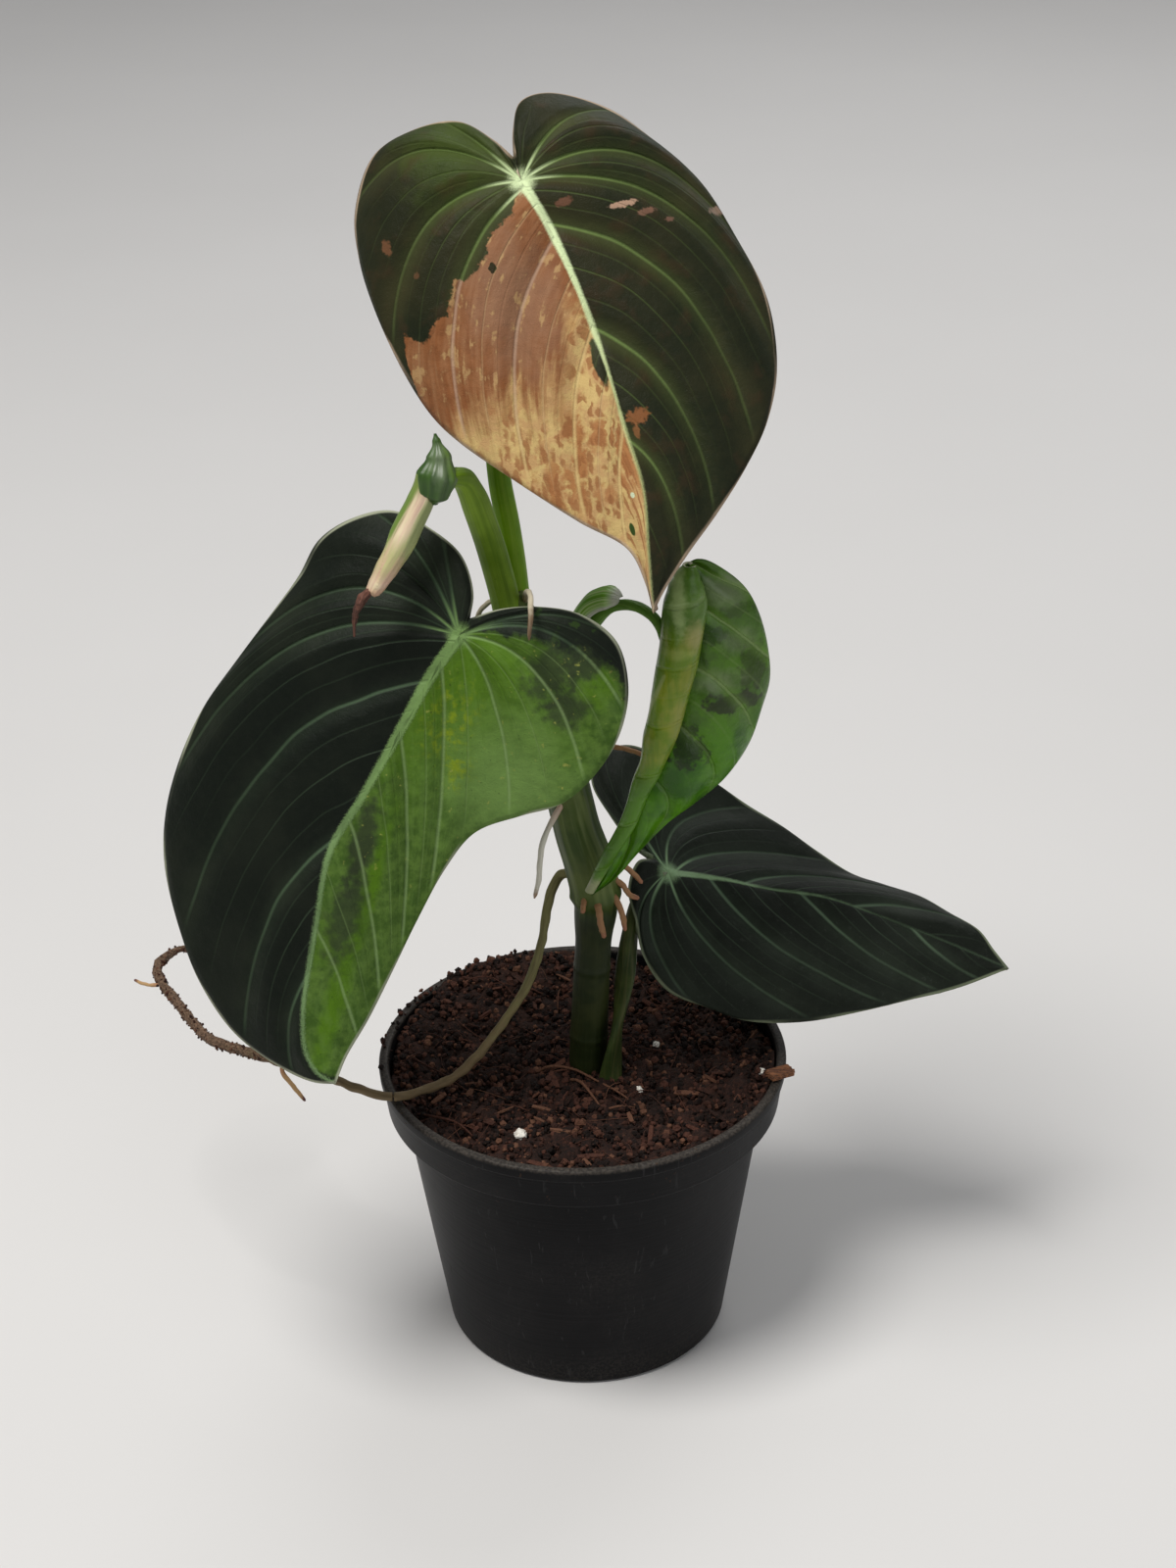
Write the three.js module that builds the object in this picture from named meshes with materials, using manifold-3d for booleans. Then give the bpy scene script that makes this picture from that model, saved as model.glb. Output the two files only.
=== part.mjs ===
// A young black gold philodendron in a round black nursery pot.
// Millimetres, +Z up, the viewer stands at -Y. The origin is the middle of the pot's underside.
import * as THREE from 'three';
import { mergeVertices } from 'three/addons/utils/BufferGeometryUtils.js';
import Module from 'manifold-3d';

const wasm = await Module();
wasm.setup();

// Driving dimensions

const GAP = 0.3; // clearance between neighbouring pieces

const POT = {
  height: 90,
  rimRadius: 60,
  rimDepth: 4,
  collarRadius: 58.4,
  collarBottom: 76,
  bodyTopRadius: 53,
  baseRadius: 42,
  wall: 1.5,
  floor: 3,
  ringInnerRadius: 34,
  bossRadius: 12,
  drainHoles: 8,
  drainRadius: 3.5,
  drainCircle: 24,
  around: 40,
};

const SOIL = {
  level: 84,
  moundRise: 2,
  heapRise: 7.5,
  around: 36,
  ringRadii: [52, 45, 38, 30, 22, 13],
  roughness: 1.1,
  chips: 30,
  fibres: 9,
  spill: { crumbs: 7, from: 1.75, to: 2.6 }, // crumbs on the rim, at the back left, as angles from +X
};

const STEM_FOOT_DEPTH = 20; // how far the stem and the low petiole stand in the soil

const BLADE_THICKNESS = 0.8;

const PALETTE = {
  potBlack: { color: 0x17181a, roughness: 0.38, metalness: 0 },
  soilBrown: { color: 0x2a1c14, roughness: 0.95, metalness: 0 },
  perliteWhite: { color: 0xe9e5da, roughness: 0.9, metalness: 0 },
  barkOrange: { color: 0x8a4a22, roughness: 0.85, metalness: 0 },
  stemGreen: { color: 0x4c5f2a, roughness: 0.6, metalness: 0 },
  petioleGreen: { color: 0x6a8a34, roughness: 0.5, metalness: 0 },
  velvetDark: { color: 0x2c3a26, roughness: 0.7, metalness: 0 },
  velvetBlue: { color: 0x24322b, roughness: 0.7, metalness: 0 },
  youngGreen: { color: 0x4f8a22, roughness: 0.35, metalness: 0 },
  newBlush: { color: 0xb9bd90, roughness: 0.45, metalness: 0 },
  rootBrown: { color: 0x6e4a2c, roughness: 0.85, metalness: 0 },
  rootWhite: { color: 0xd8c3ae, roughness: 0.7, metalness: 0 },
};

// Small helpers

const vec = (p) => new THREE.Vector3(p[0], p[1], p[2]);

const smoothCurve = (points) => new THREE.CatmullRomCurve3(points.map(vec), false, 'centripetal');

// A repeatable stream of numbers from 0 to 1
function seeded(seed) {
  let state = seed >>> 0;
  return () => {
    state = (state + 0x6d2b79f5) >>> 0;
    let t = state;
    t = Math.imul(t ^ (t >>> 15), t | 1);
    t ^= t + Math.imul(t ^ (t >>> 7), t | 61);
    return ((t ^ (t >>> 14)) >>> 0) / 4294967296;
  };
}

// Value at u of a list of [u, value] pairs, eased between them
function along(stops, u) {
  const next = stops.findIndex((stop) => stop[0] >= u);
  if (next <= 0) return stops[next === 0 ? 0 : stops.length - 1][1];
  const [u0, a] = stops[next - 1];
  const [u1, b] = stops[next];
  const f = (u - u0) / (u1 - u0);
  return a + (b - a) * f * f * (3 - 2 * f);
}

function geometryOf(positions, triangles) {
  const geometry = new THREE.BufferGeometry();
  geometry.setAttribute('position', new THREE.Float32BufferAttribute(positions, 3));
  geometry.setIndex(triangles);
  return geometry;
}

// Shared vertices merged, collapsed triangles dropped, faces turned outwards
function cleaned(geometry) {
  const bare = geometry.clone();
  for (const name of Object.keys(bare.attributes)) {
    if (name !== 'position') bare.deleteAttribute(name);
  }
  const merged = mergeVertices(bare, 1e-4);
  const position = merged.getAttribute('position');
  const index = merged.getIndex().array;
  const kept = [];
  let volume = 0;
  const [a, b, c] = [new THREE.Vector3(), new THREE.Vector3(), new THREE.Vector3()];
  for (let i = 0; i < index.length; i += 3) {
    const [p, q, r] = [index[i], index[i + 1], index[i + 2]];
    if (p === q || q === r || r === p) continue;
    kept.push(p, q, r);
    a.fromBufferAttribute(position, p);
    b.fromBufferAttribute(position, q);
    c.fromBufferAttribute(position, r);
    volume += a.dot(b.cross(c));
  }
  if (volume < 0) {
    for (let i = 0; i < kept.length; i += 3) [kept[i], kept[i + 1]] = [kept[i + 1], kept[i]];
  }
  return geometryOf(Array.from(position.array), kept);
}

function solidOf(geometry) {
  const clean = cleaned(geometry);
  return new wasm.Manifold(new wasm.Mesh({
    numProp: 3,
    vertProperties: new Float32Array(clean.getAttribute('position').array),
    triVerts: new Uint32Array(clean.getIndex().array),
  }));
}

function geometryFrom(solid) {
  const { vertProperties, triVerts } = solid.getMesh();
  return geometryOf(Array.from(vertProperties), Array.from(triVerts));
}

function biggestOf(solid) {
  return solid.decompose().sort((a, b) => b.volume() - a.volume())[0];
}

// A piece with its neighbours' room cut out of it
function cutBy(geometry, ...cutters) {
  let solid = solidOf(geometry);
  for (const cutter of cutters) solid = solid.subtract(solidOf(cutter));
  return geometryFrom(biggestOf(solid));
}

function joined(...geometries) {
  const [first, ...rest] = geometries.map(solidOf);
  return geometryFrom(rest.reduce((sum, next) => sum.add(next), first));
}

const group = new THREE.Group();

function addPiece(name, geometry, look) {
  const piece = cleaned(geometry);
  piece.computeVertexNormals();
  const mesh = new THREE.Mesh(piece, new THREE.MeshStandardMaterial(look));
  mesh.name = name;
  group.add(mesh);
}

// Stems, petioles and roots: a closed tube along a smooth route.
// radii are [place along it, radius] stops, wide is the direction of its broad side and
// broad is how much broader it is that way. grow makes the cutter that leaves a clearance.

function stalk({ route, radii, steps, sides, broad = 1, wide = [1, 0, 0], grow = 0 }) {
  const curve = smoothCurve(route);
  const positions = [];
  const triangles = [];
  for (let i = 0; i <= steps; i += 1) {
    const u = i / steps;
    const centre = curve.getPointAt(u);
    const tangent = curve.getTangentAt(u);
    const across = vec(wide).addScaledVector(tangent, -vec(wide).dot(tangent)).normalize();
    const other = new THREE.Vector3().crossVectors(tangent, across);
    const radius = along(radii, u);
    for (let k = 0; k < sides; k += 1) {
      const angle = (k / sides) * Math.PI * 2;
      const point = centre.clone()
        .addScaledVector(across, Math.cos(angle) * (radius * broad + grow))
        .addScaledVector(other, Math.sin(angle) * (radius + grow));
      positions.push(point.x, point.y, point.z);
    }
  }
  for (let i = 0; i < steps; i += 1) {
    for (let k = 0; k < sides; k += 1) {
      const a = i * sides + k;
      const b = i * sides + ((k + 1) % sides);
      triangles.push(a, b, b + sides, a, b + sides, a + sides);
    }
  }
  const start = positions.length / 3;
  const first = curve.getPointAt(0).addScaledVector(curve.getTangentAt(0), -grow);
  const last = curve.getPointAt(1).addScaledVector(curve.getTangentAt(1), grow);
  positions.push(first.x, first.y, first.z, last.x, last.y, last.z);
  for (let k = 0; k < sides; k += 1) {
    const next = (k + 1) % sides;
    triangles.push(start, next, k);
    triangles.push(start + 1, steps * sides + k, steps * sides + next);
  }
  return geometryOf(positions, triangles);
}

// Blades: a surface of points, given a thickness along its own normals.
// The two faces are triangulated alike, and a strip closes the rim.

function thickened(positions, triangles, thicknessAt, grow = 0) {
  const surface = mergeVertices(geometryOf(positions, triangles), 1e-4);
  const index = surface.getIndex().array;
  const kept = [];
  for (let i = 0; i < index.length; i += 3) {
    const [p, q, r] = [index[i], index[i + 1], index[i + 2]];
    if (p !== q && q !== r && r !== p) kept.push(p, q, r);
  }
  surface.setIndex(kept);
  surface.computeVertexNormals();
  const point = surface.getAttribute('position');
  const normal = surface.getAttribute('normal');
  const count = point.count;
  const both = [];
  for (const face of [0, 1]) {
    for (let i = 0; i < count; i += 1) {
      const depth = face === 0 ? grow : -(thicknessAt(point.getX(i), point.getY(i), point.getZ(i)) + grow);
      both.push(
        point.getX(i) + normal.getX(i) * depth,
        point.getY(i) + normal.getY(i) * depth,
        point.getZ(i) + normal.getZ(i) * depth,
      );
    }
  }
  const faces = [];
  const edges = new Map();
  for (let i = 0; i < kept.length; i += 3) {
    const [p, q, r] = [kept[i], kept[i + 1], kept[i + 2]];
    faces.push(p, q, r, p + count, r + count, q + count);
    for (const [from, to] of [[p, q], [q, r], [r, p]]) {
      const twin = `${to},${from}`;
      if (edges.has(twin)) edges.delete(twin);
      else edges.set(`${from},${to}`, [from, to]);
    }
  }
  for (const [from, to] of edges.values()) {
    faces.push(to, from, from + count, to, from + count, to + count);
  }
  return geometryOf(both, faces);
}

// A heart-shaped blade. Each half is swept by its veins: vein s leaves the midrib and arches
// forward to the margin, s is 0 at the notch behind the petiole and 1 at the tip. The veins
// are sunk and the blade swells up between them.

const BLADE = {
  basalShare: 0.6, // the part of each margin that is fed by veins from the petiole itself
  forwardPower: 2.2, // how the other veins are spread along the midrib
  leanBy: 0.3, // the veins arch back fully from here on
  uprightFrom: 0.83, // and straighten again from here to the tip
  broadFrom: 0.2, // between these places the bend moves out to the leaf's own sweep
  broadBy: 0.9,
  rows: 36,
  across: 6,
};

function veinFoot(s) {
  const beyond = Math.max(0, (s - BLADE.basalShare) / (1 - BLADE.basalShare));
  return beyond ** BLADE.forwardPower;
}

// Counts the strong veins of a half: each lies at a whole number
function veinCount(veins, s) {
  const next = veins.findIndex((vein) => vein >= s);
  if (next === 0) return 0.5 + (0.5 * s) / veins[0];
  const before = veins[next < 0 ? veins.length - 1 : next - 1];
  if (next < 0) return veins.length + (0.5 * (s - before)) / (1 - before);
  return next + (s - before) / (veins[next] - before);
}

function bladePoint(leaf, curves, side, s, t) {
  const facing = vec(leaf.facing).normalize();
  const foot = curves.midrib.getPointAt(veinFoot(s));
  const edge = curves[side].getPointAt(s);
  const forward = vec(leaf.midrib[leaf.midrib.length - 1]).sub(foot).normalize();
  const reach = edge.clone().sub(foot);
  const ahead = reach.dot(forward);
  const span = reach.addScaledVector(forward, -ahead).length();
  const upright = (1 - s) / (1 - BLADE.uprightFrom);
  const lean = Math.min(1, s / BLADE.leanBy) * Math.min(1, 0.3 + 0.7 * upright);
  const sweep = THREE.MathUtils.smoothstep(s, BLADE.broadFrom, BLADE.broadBy);
  const bend = foot.clone()
    .addScaledVector(reach, 0.5 + (leaf.sweep[side] - 0.5) * sweep)
    .addScaledVector(facing, leaf.camber * span)
    .addScaledVector(forward, 0.5 * ahead - leaf.arch * lean * span);
  const between = Math.abs(Math.sin(Math.PI * veinCount(leaf.veins[side], s)));
  const swell = leaf.relief * between ** 0.75 * Math.sin(Math.PI * t ** 0.8) ** 0.5 * Math.min(1, span / 25);
  const wave = leaf.wave * Math.sin(leaf.waves * Math.PI * 2 * s) * t ** 3 * Math.sin(Math.PI * s);
  return new THREE.Vector3()
    .addScaledVector(foot, (1 - t) ** 2)
    .addScaledVector(bend, 2 * t * (1 - t))
    .addScaledVector(edge, t * t)
    .addScaledVector(facing, swell + wave);
}

function heartBlade(leaf, grow = 0) {
  const curves = {
    midrib: smoothCurve(leaf.midrib),
    left: smoothCurve([leaf.notch, ...leaf.left, leaf.midrib[leaf.midrib.length - 1]]),
    right: smoothCurve([leaf.notch, ...leaf.right, leaf.midrib[leaf.midrib.length - 1]]),
  };
  const { rows, across: columns } = BLADE;
  const positions = [];
  const triangles = [];
  for (const side of ['left', 'right']) {
    const start = positions.length / 3;
    for (let i = 0; i <= rows; i += 1) {
      for (let j = 0; j <= columns; j += 1) {
        const p = bladePoint(leaf, curves, side, i / rows, j / columns);
        positions.push(p.x, p.y, p.z);
      }
    }
    for (let i = 0; i < rows; i += 1) {
      for (let j = 0; j < columns; j += 1) {
        const a = start + i * (columns + 1) + j;
        const b = a + columns + 1;
        if (side === 'right') triangles.push(a, b, a + 1, b, b + 1, a + 1);
        else triangles.push(a, a + 1, b, b, a + 1, b + 1);
      }
    }
  }
  const ribs = Array.from({ length: 25 }, (_, i) => curves.midrib.getPointAt(i / 24));
  const keel = (x, y, z) => {
    const near = Math.min(...ribs.map((rib) => rib.distanceTo(new THREE.Vector3(x, y, z))));
    return BLADE_THICKNESS + leaf.keel * Math.max(0, 1 - near / 3.5);
  };
  return thickened(positions, triangles, keel, grow);
}

const LEAF_TOP = {
  facing: [0, -0.87, 0.5],
  midrib: [[-11, -6, 355], [-4, -11, 344], [3, -19, 330], [9, -28, 315], [14, -38, 300],
    [18, -46, 288], [19, -53, 275], [20, -59, 260]],
  notch: [-13, -2, 360],
  right: [[-13, 5, 365], [-11, 12, 370], [-4, 16, 371], [11, 16, 367], [22, 13, 360], [34, 8, 350],
    [43, 2, 337], [51, -6, 323], [53, -16, 308], [50, -25, 297], [44, -34, 288], [37, -42, 280],
    [29, -50, 272], [23, -56, 265]],
  left: [[-18, 3, 363], [-27, 9, 366], [-39, 12, 363], [-49, 11, 357], [-54, 6, 344], [-53, 0, 333],
    [-49, -8, 322], [-42, -17, 309], [-35, -24, 300], [-28, -30, 295], [-14, -37, 287],
    [2, -45, 279], [14, -51, 274], [18, -55, 267]],
  camber: 0.1,
  arch: 0.5,
  sweep: { left: 1.1, right: 1.15 },
  veins: {
    left: [0.12, 0.29, 0.49, 0.66, 0.765, 0.85, 0.91],
    right: [0.22, 0.44, 0.61, 0.745, 0.85, 0.92],
  },
  relief: 2.2,
  wave: 1.2,
  waves: 3,
  keel: 1.4,
};

const LEAF_FRONT = {
  facing: [-0.05, -0.96, 0.26],
  midrib: [[-30, -30, 241], [-38, -32, 230], [-45, -34, 218], [-57, -38, 198], [-66, -42, 184],
    [-70, -46, 168], [-73, -50, 153], [-75, -54, 142], [-75, -57, 130], [-72, -59, 124],
    [-67, -60, 121]],
  notch: [-27, -28, 245],
  right: [[-19, -29, 248], [-9, -30, 249], [2, -31, 247], [11, -33, 240], [14, -36, 228],
    [12, -39, 217], [6, -40, 206], [-4, -40, 196], [-15, -38, 191], [-28, -35, 184],
    [-36, -36, 174], [-44, -39, 160], [-51, -44, 147], [-58, -50, 135], [-64, -56, 127]],
  left: [[-26, -25, 251], [-29, -21, 260], [-37, -17, 266], [-47, -12, 269], [-58, -10, 266],
    [-67, -10, 260], [-73, -11, 250], [-80, -13, 241], [-90, -14, 228], [-100, -17, 215],
    [-107, -20, 202], [-112, -24, 187], [-113, -28, 173], [-109, -35, 155], [-104, -41, 142],
    [-95, -48, 130], [-82, -55, 123], [-73, -59, 121]],
  camber: 0.1,
  arch: 0.5,
  sweep: { left: 0.98, right: 0.72 },
  veins: {
    left: [0.1, 0.18, 0.39, 0.57, 0.745, 0.885, 0.95],
    right: [0.2, 0.31, 0.42, 0.545, 0.71, 0.8, 0.87, 0.93],
  },
  relief: 1.8,
  wave: 1.4,
  waves: 3,
  keel: 1.6,
};

const LEAF_BACK = {
  facing: [0.15, -0.62, 0.77],
  midrib: [[26, 15, 142], [42, 17, 138], [55, 18, 134], [71, 18, 131], [87, 17, 125],
    [108, 14, 117], [126, 10, 110]],
  notch: [22, 16, 146],
  right: [[17, 13, 147], [14, 9, 140], [16, 4, 132], [18, -1, 124], [25, -5, 114], [36, -7, 109],
    [47, -8, 105], [64, -7, 104], [82, -4, 105], [96, 0, 106], [111, 5, 107]],
  left: [[16, 20, 148], [9, 28, 154], [4, 36, 161], [6, 42, 167], [15, 46, 168], [27, 49, 161],
    [38, 50, 154], [50, 50, 145], [62, 48, 138], [72, 45, 131], [82, 41, 125], [92, 37, 123],
    [102, 32, 122], [110, 26, 120], [118, 19, 118], [122, 14, 114]],
  camber: 0.08,
  arch: 0.5,
  sweep: { left: 0.8, right: 0.95 },
  veins: {
    left: [0.15, 0.32, 0.5, 0.66, 0.8, 0.9],
    right: [0.2, 0.36, 0.6, 0.75, 0.86, 0.94],
  },
  relief: 1.5,
  wave: 1,
  waves: 3,
  keel: 1.2,
};

// The young blade, not yet unrolled. Going down it, each section runs from the open edge at
// the right to the back of the roll, and then round the roll: left, front, right and inside.

const LEAF_YOUNG = {
  centre: [[31, -17, 254], [30, -18, 243], [29, -18, 233], [27, -18, 221], [24.5, -18, 209],
    [21.3, -17, 196], [18, -16, 187], [14, -15, 175], [8.6, -14, 164], [3.3, -12, 152]],
  edge: [[30, -15, 254], [34, -14, 254.5], [40, -12, 250.5], [46, -10, 244], [50, -8, 235],
    [52.5, -7, 224], [53, -7, 215], [51, -7, 206.5], [47.5, -8, 196], [41, -9, 186],
    [33, -10, 179], [25, -11, 173], [17, -12, 164.5], [10, -11.5, 155.5], [3.5, -12, 150.5]],
  rollRadius: [[0, 1.6], [0.03, 3.9], [0.06, 5.2], [0.1, 5.8], [0.2, 5.7], [0.34, 5.2], [0.46, 4.6],
    [0.58, 3.3], [0.7, 2.3], [0.85, 1.9], [1, 1.1]],
  turn: [[0, 4.2], [0.12, 6.9], [0.45, 6.6], [0.7, 4.9], [1, 3.6]],
  inward: 2.4,
  bulge: 0.2,
  veins: 6,
  veinDrop: 0.6,
  relief: 1.6,
  thickness: 0.7,
  down: 22,
  open: 6,
  around: 11,
};

function youngPoint(l, column) {
  const leaf = LEAF_YOUNG;
  const centre = smoothCurve(leaf.centre).getPointAt(l);
  const radius = along(leaf.rollRadius, l);
  const back = centre.clone().add(new THREE.Vector3(0, radius, 0));
  if (column <= leaf.open) {
    const t = 1 - column / leaf.open;
    const edge = smoothCurve(leaf.edge).getPointAt(l);
    const span = back.distanceTo(edge);
    const vein = (l * leaf.veins + leaf.veinDrop * (1 - t)) % 1;
    const swell = leaf.relief * Math.sin(Math.PI * vein) ** 0.7 * Math.sin(Math.PI * t) ** 0.5
      * Math.min(1, span / 18);
    const forward = 4 * t * (1 - t) * leaf.bulge * Math.max(0, span - 5) + swell;
    return back.lerp(edge, t).add(new THREE.Vector3(0, -forward, 0));
  }
  const f = (column - leaf.open) / leaf.around;
  const angle = Math.PI / 2 + along(leaf.turn, l) * f;
  const r = radius - leaf.inward * Math.min(1, radius / 5) * f ** 1.5;
  return centre.add(new THREE.Vector3(r * Math.cos(angle), r * Math.sin(angle), 0));
}

function youngBlade(grow = 0) {
  const leaf = LEAF_YOUNG;
  const columns = leaf.open + leaf.around;
  const positions = [];
  const triangles = [];
  for (let i = 0; i <= leaf.down; i += 1) {
    for (let j = 0; j <= columns; j += 1) {
      const p = youngPoint(i / leaf.down, j);
      positions.push(p.x, p.y, p.z);
    }
  }
  for (let i = 0; i < leaf.down; i += 1) {
    for (let j = 0; j < columns; j += 1) {
      const a = i * (columns + 1) + j;
      const b = a + columns + 1;
      triangles.push(a, a + 1, b, b, a + 1, b + 1);
    }
  }
  return thickened(positions, triangles, () => leaf.thickness, grow);
}

// The new leaf: a tight roll that hangs from two folded base lobes and ends in a dry thread

const LEAF_NEW = {
  roll: {
    route: [[-37, -25, 284], [-38.4, -26, 278], [-41.6, -28, 272], [-45, -31, 266], [-48.4, -33, 261],
      [-52, -35, 255.5]],
    radii: [[0, 2.8], [0.25, 3.7], [0.55, 3.6], [0.85, 2.6], [1, 1.3]],
    steps: 9,
    sides: 10,
  },
  thread: {
    route: [[-51, -34, 258], [-54, -36, 255], [-55.7, -37, 252], [-56.4, -37, 249], [-56.7, -38, 245]],
    radii: [[0, 0.9], [0.35, 1.2], [1, 0.3]],
    steps: 5,
    sides: 5,
  },
  lobes: {
    route: [[-35.8, -26, 277], [-35, -26, 280.5], [-34, -25, 285], [-33.6, -24, 289], [-34.4, -22.5, 294.5]],
    radii: [[0, 1.6], [0.15, 4], [0.38, 4.9], [0.65, 3], [0.88, 1.1], [1, 0.35]],
    steps: 8,
    sides: 10,
    broad: 1.05,
    wide: [1, 0.2, 0],
  },
};

function newLeaf(grow = 0) {
  return joined(
    stalk({ ...LEAF_NEW.lobes, grow }),
    stalk({ ...LEAF_NEW.roll, grow }),
    stalk({ ...LEAF_NEW.thread, grow }),
  );
}

// Stem and petioles

const STEM = {
  route: [[1, 0, SOIL.level - STEM_FOOT_DEPTH], [1.5, 0, 84], [3, 0, 115], [4, 0, 132], [4.7, 0, 143],
    [3, 0, 154], [0, 0, 165], [-3, -2, 181], [-7, -4, 200], [-11, -5, 219], [-15, -6, 235],
    [-17, -6, 242]],
  radii: [[0, 5.4], [0.12, 5.6], [0.35, 5.2], [0.42, 6.6], [0.48, 7], [0.6, 6.4], [0.8, 5.8],
    [0.95, 5], [1, 3.6]],
  steps: 22,
  sides: 10,
};

const PETIOLE_TOP = {
  route: [[-14.5, -4.5, 233], [-15.2, -4, 240], [-16, -2.5, 250], [-17.2, -1, 260], [-19, 1, 271],
    [-20, 4, 284], [-19.5, 6, 300], [-17, 7, 320], [-14, 5, 338], [-12, 0, 350], [-11, -6.5, 354.5]],
  radii: [[0, 3.4], [0.25, 3.1], [0.5, 2.7], [0.9, 2.2], [1, 1.9]],
  steps: 16,
  sides: 8,
};

const PETIOLE_NEW = {
  route: [[-17.5, -7.5, 235], [-18.5, -8.5, 242], [-19.8, -9.5, 249], [-21.8, -11, 258.5],
    [-24, -14, 268], [-26, -17, 276], [-28, -20, 281], [-31, -23.5, 283], [-34, -25, 283]],
  radii: [[0, 3.2], [0.3, 3.2], [0.65, 3.1], [0.85, 2.6], [1, 1.9]],
  broad: 1.22,
  wide: [1, 0, 0.3],
  steps: 12,
  sides: 10,
};

const PETIOLE_FRONT = {
  route: [[-6, -3, 196], [-11, -1, 204], [-18, -3, 215], [-24, -10, 226], [-28, -20, 235],
    [-30, -30, 241]],
  radii: [[0, 4], [0.3, 3], [0.8, 2.4], [1, 2.2]],
  steps: 10,
  sides: 8,
};

const PETIOLE_YOUNG = {
  route: [[-8, -4, 204], [-3, -4, 214], [1, -4, 223], [4, -5, 230.5], [7.5, -7, 236], [11.5, -9, 239],
    [15, -11, 240], [18.5, -13, 239.6], [21.3, -14.8, 238], [23, -16, 235.6], [24, -16.3, 232.5]],
  radii: [[0, 3.6], [0.4, 3.2], [0.55, 2.2], [0.68, 1.5], [1, 1.4]],
  steps: 14,
  sides: 8,
};

// The winged sheath that wraps the outside of the young leaf's petiole
const SHEATH_YOUNG = {
  route: [[-7, -4, 205], [-3.5, -3.5, 215], [-0.5, -3.5, 225], [2.2, -4, 233], [5.5, -5.5, 239.2],
    [9, -7, 242], [12.3, -8.5, 242.6]],
  halfWidth: [[0, 4], [0.5, 5.2], [0.8, 4.8], [0.93, 3], [1, 0.8]],
  outward: [-0.75, 0.1, 0.65],
  wrap: 2.6,
  thickness: 0.8,
  down: 10,
  across: 6,
};

function sheath(spec) {
  const curve = smoothCurve(spec.route);
  const positions = [];
  const triangles = [];
  for (let i = 0; i <= spec.down; i += 1) {
    const u = i / spec.down;
    const centre = curve.getPointAt(u);
    const tangent = curve.getTangentAt(u);
    const out = vec(spec.outward);
    out.addScaledVector(tangent, -out.dot(tangent)).normalize();
    const side = new THREE.Vector3().crossVectors(out, tangent);
    const radius = along(spec.halfWidth, u);
    for (let j = 0; j <= spec.across; j += 1) {
      const angle = (j / spec.across - 0.5) * spec.wrap;
      const p = centre.clone()
        .addScaledVector(out, Math.cos(angle) * radius * 0.75)
        .addScaledVector(side, Math.sin(angle) * radius);
      positions.push(p.x, p.y, p.z);
    }
  }
  for (let i = 0; i < spec.down; i += 1) {
    for (let j = 0; j < spec.across; j += 1) {
      const a = i * (spec.across + 1) + j;
      const b = a + spec.across + 1;
      triangles.push(a, b, a + 1, b, b + 1, a + 1);
    }
  }
  return thickened(positions, triangles, () => spec.thickness);
}

const PETIOLE_BACK = {
  route: [[7.5, -10, SOIL.level - STEM_FOOT_DEPTH], [7.9, -8, 84], [10, -5.5, 100], [12.6, 0, 115],
    [15, 7, 129], [19, 13.5, 137], [26.5, 15.5, 142]],
  radii: [[0, 3.1], [0.5, 3.2], [0.8, 2.4], [1, 1.9]],
  steps: 12,
  sides: 8,
};

// Roots

const AERIAL_ROOT = {
  route: [[1, 1.5, 150], [-5.5, 5.5, 147], [-9, 2, 140], [-11, -4, 131], [-15, -8, 120],
    [-23, -12, 108], [-31, -16, 99], [-37, -18, 94.2], [-45, -21, 92.1], [-55, -24, 91.7],
    [-65, -20, 92], [-75, -13, 92], [-87, -6, 92], [-100, 2, 91], [-110, 8, 91], [-116, 16, 91.5],
    [-123, 28, 92.5], [-129, 40, 92], [-131, 48, 91.5], [-129.5, 55, 91], [-125, 60, 91],
    [-120, 58, 92]],
  radii: [[0, 1.5], [0.12, 1.25], [0.5, 1.3], [0.6, 1.55], [0.93, 1.4], [1, 0.8]],
  steps: 44,
  sides: 6,
};

const AERIAL_ROOTLETS = [
  { route: [[-87.5, -5.7, 92], [-88, -6.6, 89.4], [-85.5, -8, 86], [-81.5, -10, 81]], radius: 0.7 },
  {
    route: [[-128.2, 38.4, 92.1], [-130.8, 38.2, 91.6], [-134, 39, 91.6], [-137, 40, 92.5]],
    radius: 0.6,
  },
];

const ROOT = { steps: 6, sides: 6 };

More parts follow.
